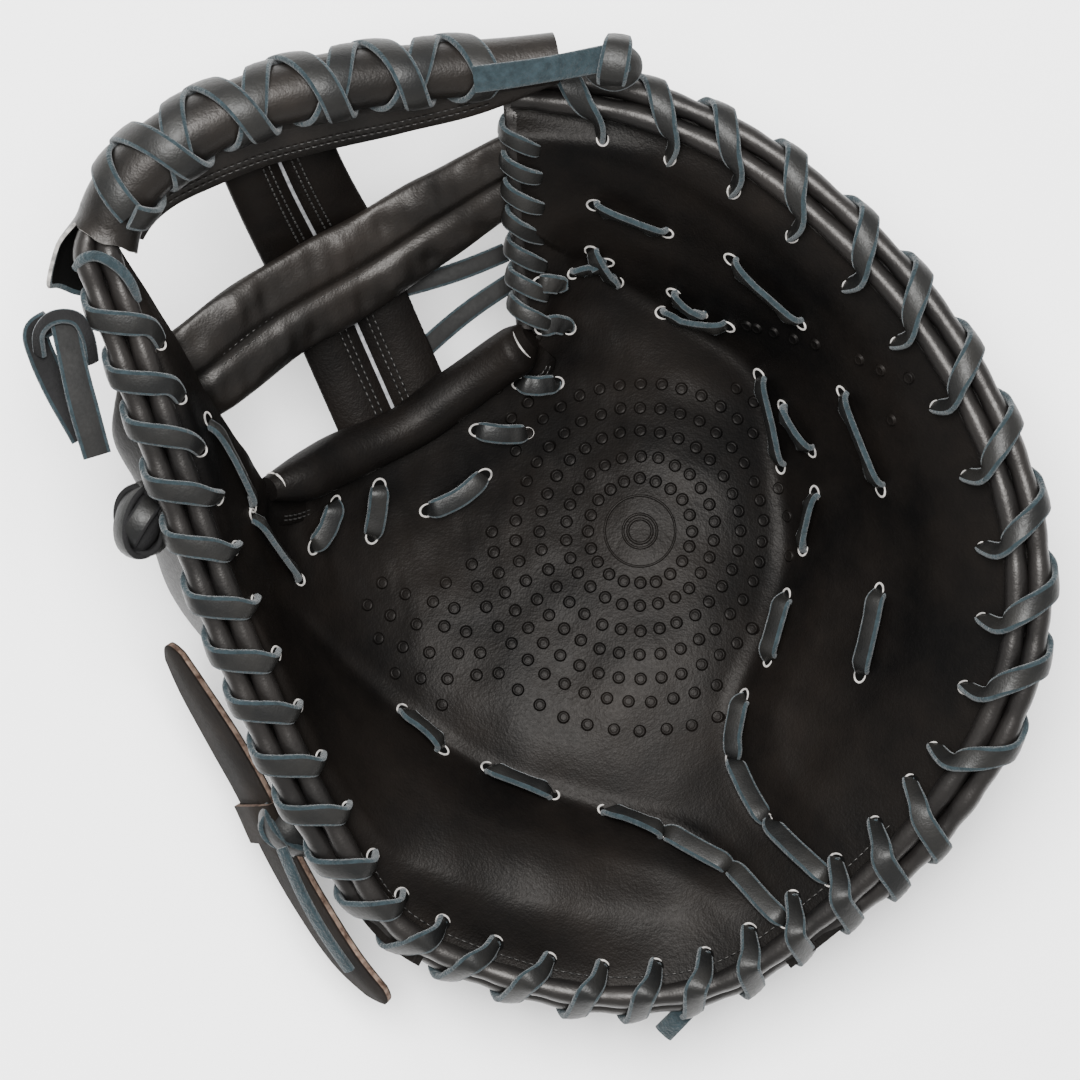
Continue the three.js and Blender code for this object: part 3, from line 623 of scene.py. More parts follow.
def pair_point(place, out, up):
    """A point beside the pair of rolls; its outer part turns down with the outer roll."""
    place, out, up = (v + 0.0 * place for v in (np.asarray(place, float), out, up))
    reach = out + ROLL_RADIUS
    turn = tuck_at(place) * np.clip(reach / (2 * ROLL_RADIUS), 0, 1)
    turned_out = reach * np.cos(turn) + up * np.sin(turn) - ROLL_RADIUS
    turned_up = up * np.cos(turn) - reach * np.sin(turn)
    return seam_point(place, turned_out, turned_up)


def build_rolls(laces):
    u = np.linspace(0, LAST, LAST * 28 + 1)
    at, along, o, up = seam(u)
    pinch = np.zeros_like(u)
    for place in laces:
        pinch += np.exp(-(((u - place) / 0.1) ** 2))
    into = unit(points_of(BAR, np.array(1.0)) - points_of(BAR, np.array(0.0)))
    middle = points_of(BAR, np.array(0.0))
    for name, out in (("inner_rim_roll", -1), ("outer_rim_roll", 1)):
        angles = np.linspace(0, 2 * np.pi, 17)[:-1]
        centre = pair_point(u, out * (ROLL_RADIUS + 0.05), 0.0)
        f = np.linspace(0, 1, 9)[1:, None]
        goal = middle + into * 24 + o[-1] * (out * 3.3)
        arrive = centre[-1] + along[-1] * 8 - Z * 5
        tail = (1 - f) ** 2 * centre[-1] + 2 * f * (1 - f) * arrive + f * f * goal
        centre = np.concatenate([centre, tail])
        radius = (ROLL_RADIUS + 0.2) * (1 + 0.035 * lumps(centre, 17, 8 + out))
        radius[:len(u)] -= 0.45 * np.minimum(pinch, 1)
        sides = np.concatenate([o, np.repeat(o[-1:], len(tail), 0)])
        ups = np.concatenate([up, np.repeat(up[-1:], len(tail), 0)])
        ring = np.stack([np.cos(angles), np.sin(angles)], -1)
        b = Builder()
        sweep(b, centre, sides, ups, radius[:, None, None] * ring[None])
        b.build(name + "_leather", [ROLLED], slot="rim_leather", node=name)


def even_places(start, end, pitch):
    fine = np.linspace(start, end, 401)
    lengths = np.concatenate([[0], np.cumsum(np.linalg.norm(np.diff(seam(fine)[0], axis=0), axis=1))])
    count = round(lengths[-1] / pitch)
    return np.interp(np.linspace(0, lengths[-1], count + 1), lengths, fine)


FINGER_TURN = [0.1, 0.3, 0.5, 0.62, 0.72, 0.86]
HEEL_TURN = [0.1, 0.28, 0.46, 0.58, 0.7, 0.84]


def rim_lace(start, end, pitch, turn):
    """Points of a lace whipped round the rim, the way its grain faces, and its width there."""
    places = even_places(start, end, pitch)
    roll = ROLL_RADIUS
    skin = LACE_THICKNESS / 2 + 0.4

    def square(place):
        """The place whose hole lies square to the seam at the given place."""
        share = 1 - HOLE_INSET / reach_of(place)
        drift = np.dot(palm(place, share) - palm(place, np.array(1.0)), seam(place)[1])
        return place - np.clip(drift, 0, 9) / pace(place)

    def pace(place):
        return float(np.linalg.norm(seam(place + 0.1)[0] - seam(place - 0.1)[0])) / 0.2

    around = roll + skin
    points, facing, widths, holes = [], [], [], []

    def push(at, place, lean, width):
        points.append(at)
        away = unit(at - pair_point(np.array(place), 0.0, -0.5 * roll))
        facing.append(unit(away - seam(place)[1] * lean))
        widths.append(width)

    for a, c in zip(places[:-1], places[1:]):
        jitter = rng.uniform(-0.07, 0.07)
        shares = np.array(turn) + jitter * np.sin(np.pi * np.array(turn))

        def ring(f, out, up, lean=0.0, width=1.0):
            place = np.array(a + (c - a) * f)
            push(pair_point(place, out, up), place, lean, width)

        def hole(f, depth, drop, lean, width):
            place = square(np.array(a + (c - a) * f))
            share = 1 - HOLE_INSET / reach_of(place)
            at = under(place, share, depth) - seam(place)[3] * drop
            push(at, place, lean, width)

        hole(0, 0.3 * PALM_WALL, 0, 1.6, 0.5)
        hole(0.02, -0.5 * skin, 0, 1.3, 0.66)
        ring(shares[0], -roll - 0.95 * around, 0.45 * around, 0.9, 0.85)
        ring(shares[1], -roll, around, 0.3)
        ring(shares[2], roll, around)
        ring(shares[3], roll + 0.85 * around, 0.55 * around)
        ring(shares[4], roll + around, -0.4 * around)
        ring(shares[5], roll + 0.6 * around, -1.2 * around)
        hole(1, PALM_WALL + 2 * GAP + BACK_WALL + skin, roll / 2, 0, 0.7)
        place = square(np.array(a))
        holes.append((float(place), float(1 - HOLE_INSET / reach_of(place))))
    return places, np.array(points), np.array(facing), np.array(widths), holes


def build_lace(name, points, facing, widths, width, node=None, steps=5, thickness=LACE_THICKNESS,
               flip=False, material=None):
    fine, facing = refine(points, facing, steps)
    place = np.linspace(0, len(points) - 1, len(fine))
    narrow = np.clip(eased_values(np.asarray(widths, float), place), 0.3, 1.15)
    _, sides, ups = frames_along(fine, facing)
    outline, kinds = rounded_strip(width, thickness)
    vary = narrow * (1 + 0.05 * lumps(fine, 30, 21))
    outline = np.asarray(outline)[None] * np.stack([vary, np.ones_like(vary)], -1)[:, None]
    b = Builder()
    sweep(b, fine, sides, ups, outline, kinds=kinds, cap_kind=1)
    pair = [SUEDE, SUEDE] if flip else [material or LACE, SUEDE]
    return b.build(name, pair, slot="lace", node=node)


def build_holes(spots):
    """Punched holes drawn as near-black discs of painted shade, with a crescent of raw leather on the side
    that the lace pulls from.
    """
    dark, pale = Builder(), Builder()
    for place, share, heading in spots:
        c, n = (v[0] for v in surface_at(np.array([[place, share]])))
        toward = heading - n * np.dot(heading, n)
        toward = toward / max(np.linalg.norm(toward), 1e-6)
        other = np.cross(n, toward)
        a = np.linspace(0, 2 * np.pi, 19)[:-1]
        size = HOLE_RADIUS * rng.uniform(0.85, 1.1)
        # Painted shade: a near-black disc over the hole, where its gap falls into shade.
        disc = c + n * 0.22 + size * (np.cos(a)[:, None] * toward + 0.8 * np.sin(a)[:, None] * other)
        dark.fan(disc)
        reach = rng.uniform(1.6, 2.2)
        a = np.linspace(-reach, reach, 19)
        arc = c + size * (np.cos(a)[:, None] * toward + 0.8 * np.sin(a)[:, None] * other) + n * 0.3
        _, s, up = frames_along(arc, n)
        thick = 0.1 + 0.26 * np.sqrt(np.maximum(1 - (a / reach) ** 2, 0))
        ring = np.stack([np.cos(np.arange(6) * np.pi / 3), np.sin(np.arange(6) * np.pi / 3)], -1)
        sweep(pale, arc, s, up, thick[:, None, None] * ring[None])
    dark.build("lace_hole_shade_discs", [HOLE_SHADE])
    pale.build("hole_edges", [RAW])


WEB_FACING = np.array([0.3, -0.48, 0.82])


def web_frames(rows, steps, facing=WEB_FACING):
    place = np.linspace(0, len(rows["x"]) - 1, steps + 1)
    points = points_of(rows, place)
    _, sides, ups = frames_along(points, facing)
    return place, points, sides, ups


def roll_with_skirt(radius, skirt, thickness, size, flap):
    """One section of a roll with a flat flap, as side and up."""
    r, reach = radius * size, skirt * flap
    arc = np.linspace(0.45, 2 * np.pi - 0.45, 22)
    round_part = np.stack([r * np.cos(arc), r * np.sin(arc)], -1)
    rest, half = -0.35 * r, thickness / 2
    end = r + reach
    lip = [(r, rest - half), (r + 0.5 * reach, rest - half), (end - 0.4, rest - half),
           (end, rest - 0.6 * half), (end, rest + 0.6 * half), (end - 0.4, rest + half),
           (r + 0.5 * reach, rest + half), (r, rest + half)]
    return np.concatenate([round_part, lip])


def bar_frames(steps):
    """The bar's frames and sizes; its open left end is drawn in a little."""
    place, points, sides, ups = web_frames(BAR, steps)
    points = points + np.array([3.5, 0.5, 0]) * smooth(1 - place / 1.6)[:, None]
    return place, points, sides, ups, np.minimum(eased(BAR, "size", place), 1.12)


def build_bar():
    place, points, sides, ups, sizes = bar_frames(150)
    wavy = sizes * (1 + 0.02 * lumps(points, 26, 31))
    flaps = eased(BAR, "skirt", place)
    outline = np.stack([roll_with_skirt(BAR_RADIUS, BAR_SKIRT, BACK_WALL, size, flap)
                        for size, flap in zip(wavy, flaps)])
    ends = (points[:, None] + sides[:, None] * outline[..., :1] + ups[:, None] * outline[..., 1:])
    first = 10
    b = Builder()
    b.grid(ends[first:], close=True)
    b.fan(ends[-1], 1, flip=True)
    # The open left end: a mouth cut on the slant, whose far side hangs down past the rolls.
    along, side, up = unit(points[first] - points[first - 1]), sides[first], ups[first]
    angles = np.linspace(0, 2 * np.pi, 97)[:-1]
    outer = BAR_RADIUS * wavy[first]
    reach = 0.4 + 24 * smooth((angles - 3.1) / 0.85) * smooth((5.9 - angles) / 1.0)
    reach += 2 * np.maximum(np.cos(angles - 0.1), 0) ** 2
    reach = reach + 0.4 * np.sin(3 * angles + 1) + 0.3 * np.sin(7 * angles)
    near = 0.3 + 0.9 * np.maximum(np.sin(angles), 0)
    far = 3.4 * np.maximum(-np.cos(angles - 0.5), 0)
    circle = side * np.cos(angles)[:, None] + up * np.sin(angles)[:, None]

    def layer(share, thickness, back=0.0):
        """A ring of the mouth: share runs from the bar's body to the cut edge."""
        out = -5 + (reach + 5) * share - back
        radius = outer - 0.15 + near * share ** 2 + far * smooth((out + 3) / 14) - thickness
        return points[first] + circle * radius[:, None] - along * out[:, None]

    shares = np.linspace(0, 1, 9)
    b.grid(np.stack([layer(share, 0) for share in shares]), close=True, flip=True)
    b.grid(np.stack([layer(1, 0), layer(1, 0.5, -0.3), layer(1, 1.2)]), kind=2, close=True, flip=True)
    b.grid(np.stack([layer(1, 1.2), layer(1, 1.4, 1.6)]), kind=1, close=True, flip=True)
    # Painted shade: the inside of the mouth and a cap deep in it take the near-black hole material.
    inside = [layer(share, 1.6) for share in np.linspace(0.9, 0, 8)] + [layer(0, 3, 8)]
    b.grid(np.stack([layer(1, 1.4, 1.6)] + inside), kind=3, close=True, flip=True)
    b.fan(layer(0, 3, 8), 3)
    piece = b.build("web_bar_leather", [WEB, SUEDE, RAW, HOLE_SHADE], node="web_bar")
    inner = BAR_RADIUS * sizes
    rest = BACK_WALL / 2 - 0.35 * inner
    for row, inset in enumerate((2.6, 4.6)):
        line = points + sides * (inner + BAR_SKIRT * flaps - inset)[:, None] + ups * (rest + 0.1)[:, None]
        stitches(f"bar_stitches_{row + 1}", line[flaps > 0.5], ups[flaps > 0.5], 2.2)


def stitches(name, line, ups, pitch, length=0.72, radius=0.28, material=None):
    """A row of short raised thread stitches along a line."""
    lengths = np.concatenate([[0], np.cumsum(np.linalg.norm(np.diff(line, axis=0), axis=1))])
    count = max(int(lengths[-1] / pitch), 2)
    b = Builder()
    ring = np.stack([np.cos(np.arange(6) * np.pi / 3), np.sin(np.arange(6) * np.pi / 3)], -1)
    for k in range(count):
        s = np.linspace(k * pitch, (k + length) * pitch, 5)
        p = np.stack([np.interp(s, lengths, line[:, a]) for a in range(3)], -1)
        n = unit(np.stack([np.interp(s, lengths, ups[:, a]) for a in range(3)], -1))
        rise = np.sin(np.linspace(0, np.pi, 5))
        p = p + n * (radius * (1.1 * rise - 0.5))[:, None]
        _, sides, normals = frames_along(p, n)
        sweep(b, p, sides, normals, ring * radius)
    return b.build(name, [material or THREAD])


def build_band():
    place, points, sides, ups = web_frames(BAND, 200)
    w = BAND_WIDTH * eased(BAND, "size", place) / 2
    across = np.concatenate([np.linspace(-1, 1, 81), np.linspace(0.96, -0.96, 25)])
    top = np.arange(len(across)) < 81
    profile = np.sqrt(np.maximum(1 - np.abs(across) ** 2.6, 0))
    groove = 0.42 * np.exp(-((across / 0.16) ** 2))
    lower = -0.55 * np.sqrt(np.maximum(1 - across ** 4, 0))
    h = BAND_PUFF * np.where(top, profile * (1 - groove), lower)[None] * np.ones((len(place), 1))
    spread = points[:, None] + sides[:, None] * (w[:, None] * across[None])[..., None]
    folds = 1.1 * lumps(spread * [1.5, 1.1, 1], 24, 41) + 0.6 * lumps(spread * [2.4, 1, 1], 12, 42)
    away = np.minimum(np.abs(across) * 1.6, 1) * (1 - across ** 4)
    h = h + np.where(top, away, 0)[None] * folds
    edge = 1 + 0.025 * lumps(points, 22, 43)[:, None] * np.abs(across[None]) ** 3
    outline = np.stack([w[:, None] * across[None] * edge, h], -1)
    b = Builder()
    sweep(b, points, sides, ups, outline)
    piece = b.build("web_band_leather", [WEB], node="web_band")
    keep = (place > 0.5) & (place < 5.75)
    for row, shift in enumerate((-1.5, 1.5)):
        line = points + sides * shift + ups * (BAND_PUFF * 0.61)
        stitches(f"band_stitches_{row + 1}", line[keep], ups[keep], 2.3)
    raw = Builder()
    k = 17
    rim = points[k] + sides[k] * outline[k, :81, :1] + ups[k] * (outline[k, :81, 1:] + 0.3)
    cord(raw, rim[2:58], ups[k], 0.36)
    raw.build("band_edge", [RAW])


def cord(builder, line, facing, radius):
    """A thin tapered strand along a line."""
    _, s, up = frames_along(line, facing)
    taper = np.sqrt(np.sin(np.linspace(0.03, np.pi - 0.03, len(line)))) * radius
    ring = np.stack([np.cos(np.arange(6) * np.pi / 3), np.sin(np.arange(6) * np.pi / 3)], -1)
    sweep(builder, line, s, up, taper[:, None, None] * ring[None])


def build_crotch():
    rows = {c: CROTCH[c][::-1] for c in CROTCH}
    place, points, sides, ups = web_frames(rows, 110)
    points = points + ups * (CROTCH_RADIUS / 3)
    ends = smooth((place + 0.1) / 0.7) * smooth((5.15 - place) / 0.7)
    wob = (1 + 0.06 * lumps(points, 30, 51)) * (0.5 + 0.5 * ends)
    points = points - ups * (3.2 * (1 - ends))[:, None]
    outline = np.stack([roll_with_skirt(CROTCH_RADIUS, CROTCH_SKIRT, 2.4, s, 1) for s in wob])
    b = Builder()
    sweep(b, points, sides, ups, outline)
    piece = b.build("crotch_band_leather", [LEATHER], node="crotch_band")
    keep = (place > 0.3) & (place < 4.8)
    for row, inset in enumerate((2.0, 3.4)):
        line = points + sides * (CROTCH_RADIUS * wob + CROTCH_SKIRT - inset)[:, None]             + ups * (-0.35 * CROTCH_RADIUS * wob + 1.25)[:, None]
        stitches(f"crotch_stitches_{row + 1}", line[keep], ups[keep], 1.9, length=0.8)
    raw = Builder()
    for k, first, last in ((3, 6, 15), (105, 3, 11)):
        arc = outline[k, first:last] * 1.02
        cord(raw, points[k] + sides[k] * arc[:, :1] + ups[k] * arc[:, 1:], ups[k], 0.34)
    raw.build("crotch_edges", [RAW])


def build_post():
    place, points, sides, ups = web_frames(POST, 60)
    w = POST_WIDTH * eased(POST, "size", place) / 2
    t = POST_THICKNESS / 2
    across = [(-1, -0.6), (-0.97, -1), (0, -1), (0.97, -1), (1, -0.6), (1, 0.6), (0.97, 1),
              (0.07, 1), (0.03, 0.3), (-0.03, 0.3), (-0.07, 1), (-0.97, 1), (-1, 0.6)]
    kinds = [0] * 8 + [1] + [0] * 4
    outline = np.asarray(across)[None] * np.stack([w, t + 0 * w], -1)[:, None]
    b = Builder()
    sweep(b, points, sides, ups, outline, kinds=kinds)
    b.build("web_post_leather", [LEATHER, PALE_THREAD], node="web_post")
    for row, shift in enumerate((-0.31, -0.2, 0.2, 0.31)):
        line = points + sides * (shift * w)[:, None] + ups * (t + 0.1)
        stitches(f"post_stitches_{row + 1}", line[2:-2], ups[2:-2], 2.1, length=0.6, radius=0.36)


def build_bar_lace(name, turn, lift, node):
    points, sides, ups, sizes = (v[14:84] for v in bar_frames(96)[1:])
    length = np.linalg.norm(np.diff(points, axis=0), axis=1).sum()
    turns = round(length / BAR_LACE_PITCH)
    steps = turns * 40
    f = np.linspace(0, len(points) - 1, steps + 1)
    i = np.arange(len(points))

    def between(v):
        return np.stack([np.interp(f, i, v[:, a]) for a in range(3)], -1)

    at, side, up = between(points), unit(between(sides)), unit(between(ups))
    angle = turn * 2 * np.pi * np.arange(steps + 1) / 40 + np.pi / 2
    r = BAR_RADIUS * np.interp(f, i, sizes) + 1.0 + lift * np.sin(angle) ** 2
    out = side * np.cos(angle)[:, None] + up * np.sin(angle)[:, None]
    fine = at + out * r[:, None]
    _, s, n = frames_along(fine, out)
    outline, kinds = rounded_strip(BAR_LACE_WIDTH, LACE_THICKNESS)
    b = Builder()
    sweep(b, fine, s, n, outline, kinds=kinds, cap_kind=1)
    b.build(name, [LACE, SUEDE], slot="lace", node=node)


def strap_section(w, t):
    return np.stack([[-w, -0.6 * t], [0.4 - w, -t], [0 * w, -t], [w - 0.4, -t], [w, -0.6 * t],
                     [w, 0.6 * t], [w - 0.4, t], [0 * w, 1.15 * t], [0.4 - w, t], [-w, 0.6 * t]])


def build_strap(name, rows, width, thickness, facing, node, edge):
    place, points, sides, ups = web_frames(rows, 120, facing)
    w = width * eased(rows, "size", place) / 2
    tip = np.sqrt(np.clip(np.minimum(place, place[-1] - place) / 0.35, 0.02, 1))
    kinds = [0, 0, 0, 0, 1, 0, 0, 0, 0, 1]
    outline = np.stack([strap_section(a * b, thickness / 2) for a, b in zip(w, tip)])
    b = Builder()
    sweep(b, points, sides, ups, outline, kinds=kinds, cap_kind=1)
    return b.build(name, [STRAP, edge], node=node)


def build_keeper():
    """A leather band round the pull strap, with raw cut edges."""
    place, points, sides, ups = web_frames(PULL_STRAP, 120, PULL_FACING)
    keep = (place > 3.05) & (place < 3.85)
    points, sides, ups = points[keep], sides[keep], ups[keep]
    w, t = PULL_WIDTH / 2 + 1.6, 2.9
    outer = strap_section(w, t)
    inner = strap_section(w - 1.3, t - 1.3)
    b = Builder()
    for part, flip in ((outer, False), (inner, True)):
        p = points[:, None] + sides[:, None] * part[None, :, :1] + ups[:, None] * part[None, :, 1:]
        b.grid(p, close=True, flip=flip)
    for k, flip in ((0, True), (-1, False)):
        rims = [points[k] + sides[k] * part[:, :1] + ups[k] * part[:, 1:] for part in (outer, inner)]
        b.grid(np.stack(rims), kind=1, close=True, flip=flip)
    b.build("strap_keeper", [STRAP, TAN])


def lace_through(name, points, facing, widths, width, node=None, flip=False, material=None):
    """A lace along a few given points, in millimetres."""
    points = np.array(points, float)
    facing = np.broadcast_to(np.array(facing, float), points.shape)
    return build_lace(name, points, unit(facing), widths, width, node=node, flip=flip, steps=8,
                      material=material)


def build_end(node, start, tip, width, facing, flip, bow):
    f = np.linspace(0, 1, 6)[:, None]
    points = (np.array(start) + (np.array(tip) - np.array(start)) * f) * SIZE
    points[:, 2] += END_THICKNESS * np.sin(np.pi * f[:, 0])
    across = unit(np.cross(points[-1] - points[0], Z))
    points += across * (bow * np.sin(np.pi * f))
    lace_through(node + "_lace", points, facing, np.ones(6), END_WIDTH * width, node, flip, END)


def build_knot(node, centre, size, turn, edge=None):
    """A lace wound over itself: crossing loops pulled tight on a small core."""
    centre = np.array(centre) * SIZE
    b = Builder()
    u, v = np.meshgrid(np.linspace(0.05, np.pi - 0.05, 14), np.linspace(0, 2 * np.pi, 25)[:-1],
                       indexing="ij")
    core = np.stack([np.sin(u) * np.cos(v) * 0.44, np.sin(u) * np.sin(v) * 0.27, np.cos(u) * 0.25], -1)

    def turned(p, tilt, spin):
        c, s = math.cos(spin), math.sin(spin)
        ct, st = math.cos(tilt), math.sin(tilt)
        p = p @ np.array([[1, 0, 0], [0, ct, st], [0, -st, ct]])
        return p @ np.array([[c, s, 0], [-s, c, 0], [0, 0, 1]])

    b.grid(centre + turned(core * size, 0, turn), kind=1, close=True, flip=True)
    outline, kinds = rounded_strip(6.6, 1.8)
    for tilt, spin, wide in ((0.45, 0.0, 1.0), (-0.5, 0.5, 0.92), (1.35, -0.35, 0.75)):
        a = np.linspace(0, 2 * np.pi, 41)
        ring = np.stack([np.cos(a) * 0.47 * wide, np.sin(a) * 0.31, 0.05 * np.sin(a + spin)], -1)
        ring = turned(ring * size, tilt, turn + spin)
        _, sides, ups = frames_along(centre + ring, ring)
        sweep(b, centre + ring, sides, ups, outline, kinds=kinds, cap_kind=1)
    b.build(node + "_lace", [LACE, edge or SUEDE], slot="lace", node=node)


def on_palm(x, y):
    """Palm coordinates (place, share) of plan points, by nearest grid point and one refinement."""
    u = np.linspace(0, LAST, LAST * 10 + 1)[:, None]
    t = np.linspace(0.04, 1, 97)[None]
    u, t = np.broadcast_arrays(u, t)
    plan = palm(u, t)[..., :2].reshape(-1, 2)
    found = []
    for a, c in zip(x, y):
        k = np.argmin((plan[:, 0] - a) ** 2 + (plan[:, 1] - c) ** 2)
        p, s = u.flat[k], t.flat[k]
        for _ in range(6):
            here = palm(np.array(p), np.array(s))[:2]
            du = (palm(np.array(p + 0.01), np.array(s))[:2] - here) / 0.01
            dt = (palm(np.array(p), np.array(s + 0.01))[:2] - here) / 0.01
            m = np.array([du, dt]).T
            if abs(np.linalg.det(m)) < 1e-3:
                break
            step = np.linalg.solve(m, np.array([a, c]) - here)
            p, s = float(np.clip(p + step[0], 0, LAST)), float(np.clip(s + step[1], 0.04, 1))
        found.append((p, s))
    return np.array(found)


def pixel_to_plan(px, py, height):
    """Plan millimetres of a photo pixel on something at that height."""
    k = (2500 - height) / 2420
    return (px - 540) * PIXEL * k, (540 - py) * PIXEL * k


def at_pixel(px, py, height):
    return np.array([*pixel_to_plan(px, py, height), height])


def surface_at(places):
    u, t = places[:, 0], places[:, 1]
    p = palm_face(u, t)
    step = 0.01
    across = palm_face(u, np.minimum(t + step, 1)) - palm_face(u, np.maximum(t - step, 0.02))
    along = palm_face(u + step, t) - palm_face(u - step, t)
    return p, unit(np.cross(along, across))


# Plan limits of the dots, as shares: up and left of this line there are none.
DOT_EDGE = np.array([[-0.9, -0.03], [-0.48, -0.035], [-0.23, -0.1], [-0.12, 0.0], [-0.07, 0.13],
                     [-0.1, 0.33]])
# Rings of dots: how many to a full ring, and its radius in millimetres.
DOT_RINGS = [(20, 15.9), (26, 22.8), (32, 30.5), (38, 37.8), (44, 45.1), (48, 52.1), (48, 61.2),
             (48, 66.5), (48, 73.8), (48, 80.2), (48, 86)]


# A few dots further out, on the finger pad, in pixels of the photograph.
FAR_DOTS = [(747, 326), (756, 329), (772, 334), (791, 341), (813, 346), (855, 362), (875, 373),
            (902, 381), (888, 421), (780, 488), (789, 516), (791, 556)]


def build_dots():
    """Raised grip dots in rings round the middle of the pocket, with plain rings at the centre."""
    cx, cy = pixel_to_plan(640, 531, 42)
    spots = []
    for k, (count, radius) in enumerate(DOT_RINGS):
        a = 2 * np.pi * (np.arange(count) + 0.5 * (k % 2)) / count
        ring = np.stack([cx + radius * np.cos(a), cy + radius * np.sin(a)], -1)
        if k > 6:
            ring = ring[(np.cos(a) < -0.72) & (np.sin(a) < 0.05)]
        spots.append(ring + rng.normal(0, 0.15, ring.shape))
    spots = np.concatenate(spots)
    outer = np.array([pixel_to_plan(x, y, 60) for x, y in FAR_DOTS])
    heel = beyond_edge(HEEL_PAD_EDGE, spots[:, 0], spots[:, 1], -1)
    finger = beyond_edge(FINGER_PAD_EDGE, spots[:, 0], spots[:, 1], 1)
    bare = beyond_edge(DOT_EDGE, spots[:, 0], spots[:, 1], 1)
    keep = (heel < -5) & (finger < -4) & (bare < 0) & (spots[:, 1] > -64) & (spots[:, 1] < 48)
    places = on_palm(*np.concatenate([spots[keep], outer]).T)
    centres, normals = surface_at(places)
    profile = [(1.5, -0.6), (1.18, -0.1), (1.06, 0.25), (0.98, 0.7), (0.86, 0.95), (0.74, 1.0),
               (0.66, 0.86), (0.4, 0.84), (0.0, 0.84)]
    angles = np.linspace(0, 2 * np.pi, 17)[:-1]
    b = Builder()
    for c, n in zip(centres, normals):
        side = unit(np.cross(n, [0.3, 0.9, 0.1]))
        other = np.cross(n, side)
        rings = [c + DOT_RADIUS * r * (np.cos(angles)[:, None] * side + np.sin(angles)[:, None] * other)
                 + n * DOT_HEIGHT * h for r, h in profile[:-1]]
        b.grid(np.stack(rings), close=True)
        b.fan(rings[-1])
    b.build("grip_dots", [LEATHER])
    place = np.linspace(8.2, 13.4, 210)
    line, n = surface_at(np.stack([place, 1 - 2.6 / reach_of(place)], -1))
    stitches("rim_stitches", line + n * 0.1, n, 2.4)
    c, n = (v[0] for v in surface_at(on_palm([cx], [cy])))
    side = unit(np.cross(n, [0.3, 0.9, 0.1]))
    other = np.cross(n, side)
    b = Builder()
    a = np.linspace(0, 2 * np.pi, 65)
    for radius, wire in ((3.7, 0.5), (5.2, 0.45), (10.8, 0.4)):
        ring = c + radius * (np.cos(a)[:, None] * side + np.sin(a)[:, None] * other)
        ring = surface_at(on_palm(ring[:, 0], ring[:, 1]))[0]
        _, s, up = frames_along(ring, n)
        around = np.stack([np.cos(np.arange(8) * np.pi / 4), np.sin(np.arange(8) * np.pi / 4)], -1)
        sweep(b, ring, s, up, around * wire, caps=False)
    b.build("centre_rings", [LEATHER])


# Laces run through the palm, in pixels of the photograph: from, to, width in
# millimetres, and how far the lace is turned on its edge, in degrees.
PALM_LACES = [
    (520, 383, 555, 383, 6.0, 10),
    (477, 430, 526, 433, 6.0, 12),
    (428, 510, 484, 476, 6.2, 15),
    (379, 486, 372, 536, 6.2, 12),
    (334, 502, 314, 546, 6.2, 18),
    (541, 328, 568, 328, 6.0, 10),
    (540, 282, 560, 284, 6.0, 20),
    (595, 205, 666, 232, 5.4, 80),
    (732, 260, 800, 324, 5.8, 80),
    (664, 312, 728, 325, 5.6, 76),
    (675, 293, 702, 312, 5.4, 76),
    (574, 273, 606, 262, 5.2, 76),
    (592, 251, 616, 281, 5.6, 60),
    (760, 376, 781, 466, 5.8, 74),
    (784, 408, 811, 450, 5.4, 74),
    (843, 392, 882, 488, 5.8, 78),
    (814, 494, 803, 548, 5.8, 78),
    (787, 596, 769, 660, 6.2, 40),
    (879, 590, 861, 674, 6.2, 40),
    (744, 697, 733, 760, 6.2, 34),
    (733, 760, 768, 821, 6.4, 22),
    (769, 820, 829, 879, 6.4, 18),
    (605, 811, 664, 834, 6.0, 58),
    (664, 832, 730, 868, 6.4, 24),
    (729, 866, 785, 921, 6.4, 14),
    (404, 710, 441, 749, 6.0, 62),
    (488, 768, 552, 795, 6.0, 54),
    (209, 420, 252, 504, 4.6, 80),
    (253, 515, 299, 579, 4.6, 80),
]


def palm_place(px, py):
    """The palm's own coordinates of a pixel of the photograph."""
    height = 45.0
    for _ in range(3):
        x, y = pixel_to_plan(px, py, height)
        place = on_palm([x], [y])
        height = float(palm_face(place[:, 0], place[:, 1])[0, 2])
    return place[0]


def build_palm_laces():
    spots = []
    strips = Builder()
    for x0, y0, x1, y1, width, turn in PALM_LACES:
        start, end = palm_place(x0, y0), palm_place(x1, y1)
        f = np.array([0, 0.03, 0.12, 0.32, 0.5, 0.68, 0.88, 0.97, 1])
        places = start + (end - start) * f[:, None]
        on, n = surface_at(places)
        n = unit(n + [0, 0, 0.6])
        rise = np.array([-3.2, -0.6, 1.0, 1.5, 1.7, 1.5, 1.0, -0.6, -3.2])
        chord = on[-1] - on[0]
        lift = 0.45 * math.sin(math.radians(turn)) * width
        points = on + n * (rise + lift * (rise > 0))[:, None]
        across = unit(np.cross(unit(chord), Z))
        middle = np.array([*pixel_to_plan(640, 531, 42), 0])
        across = across * np.sign(np.dot(across, middle - on[4]))
        angle = math.radians(turn) * np.array([0.4, 0.5, 0.8, 1, 1, 1, 0.8, 0.5, 0.4])[:, None]
        facing = Z * np.cos(angle) + across * np.sin(angle)
        fine, facing = refine(points, facing, 5)
        _, sides, ups = frames_along(fine, facing)
        place = np.linspace(0, 1, len(fine))
        narrow = 0.62 + 0.38 * smooth(np.minimum(place, 1 - place) / 0.3)
        outline, kinds = rounded_strip(width, LACE_THICKNESS)
        outline = np.asarray(outline)[None] * np.stack([narrow, np.ones_like(narrow)], -1)[:, None]
        sweep(strips, fine, sides, ups, outline, kinds=kinds, cap_kind=1)
        spots.append((*start, -chord))
        spots.append((*end, chord))
    strips.build("palm_laces", [LACE, SUEDE], slot="lace")
    return spots


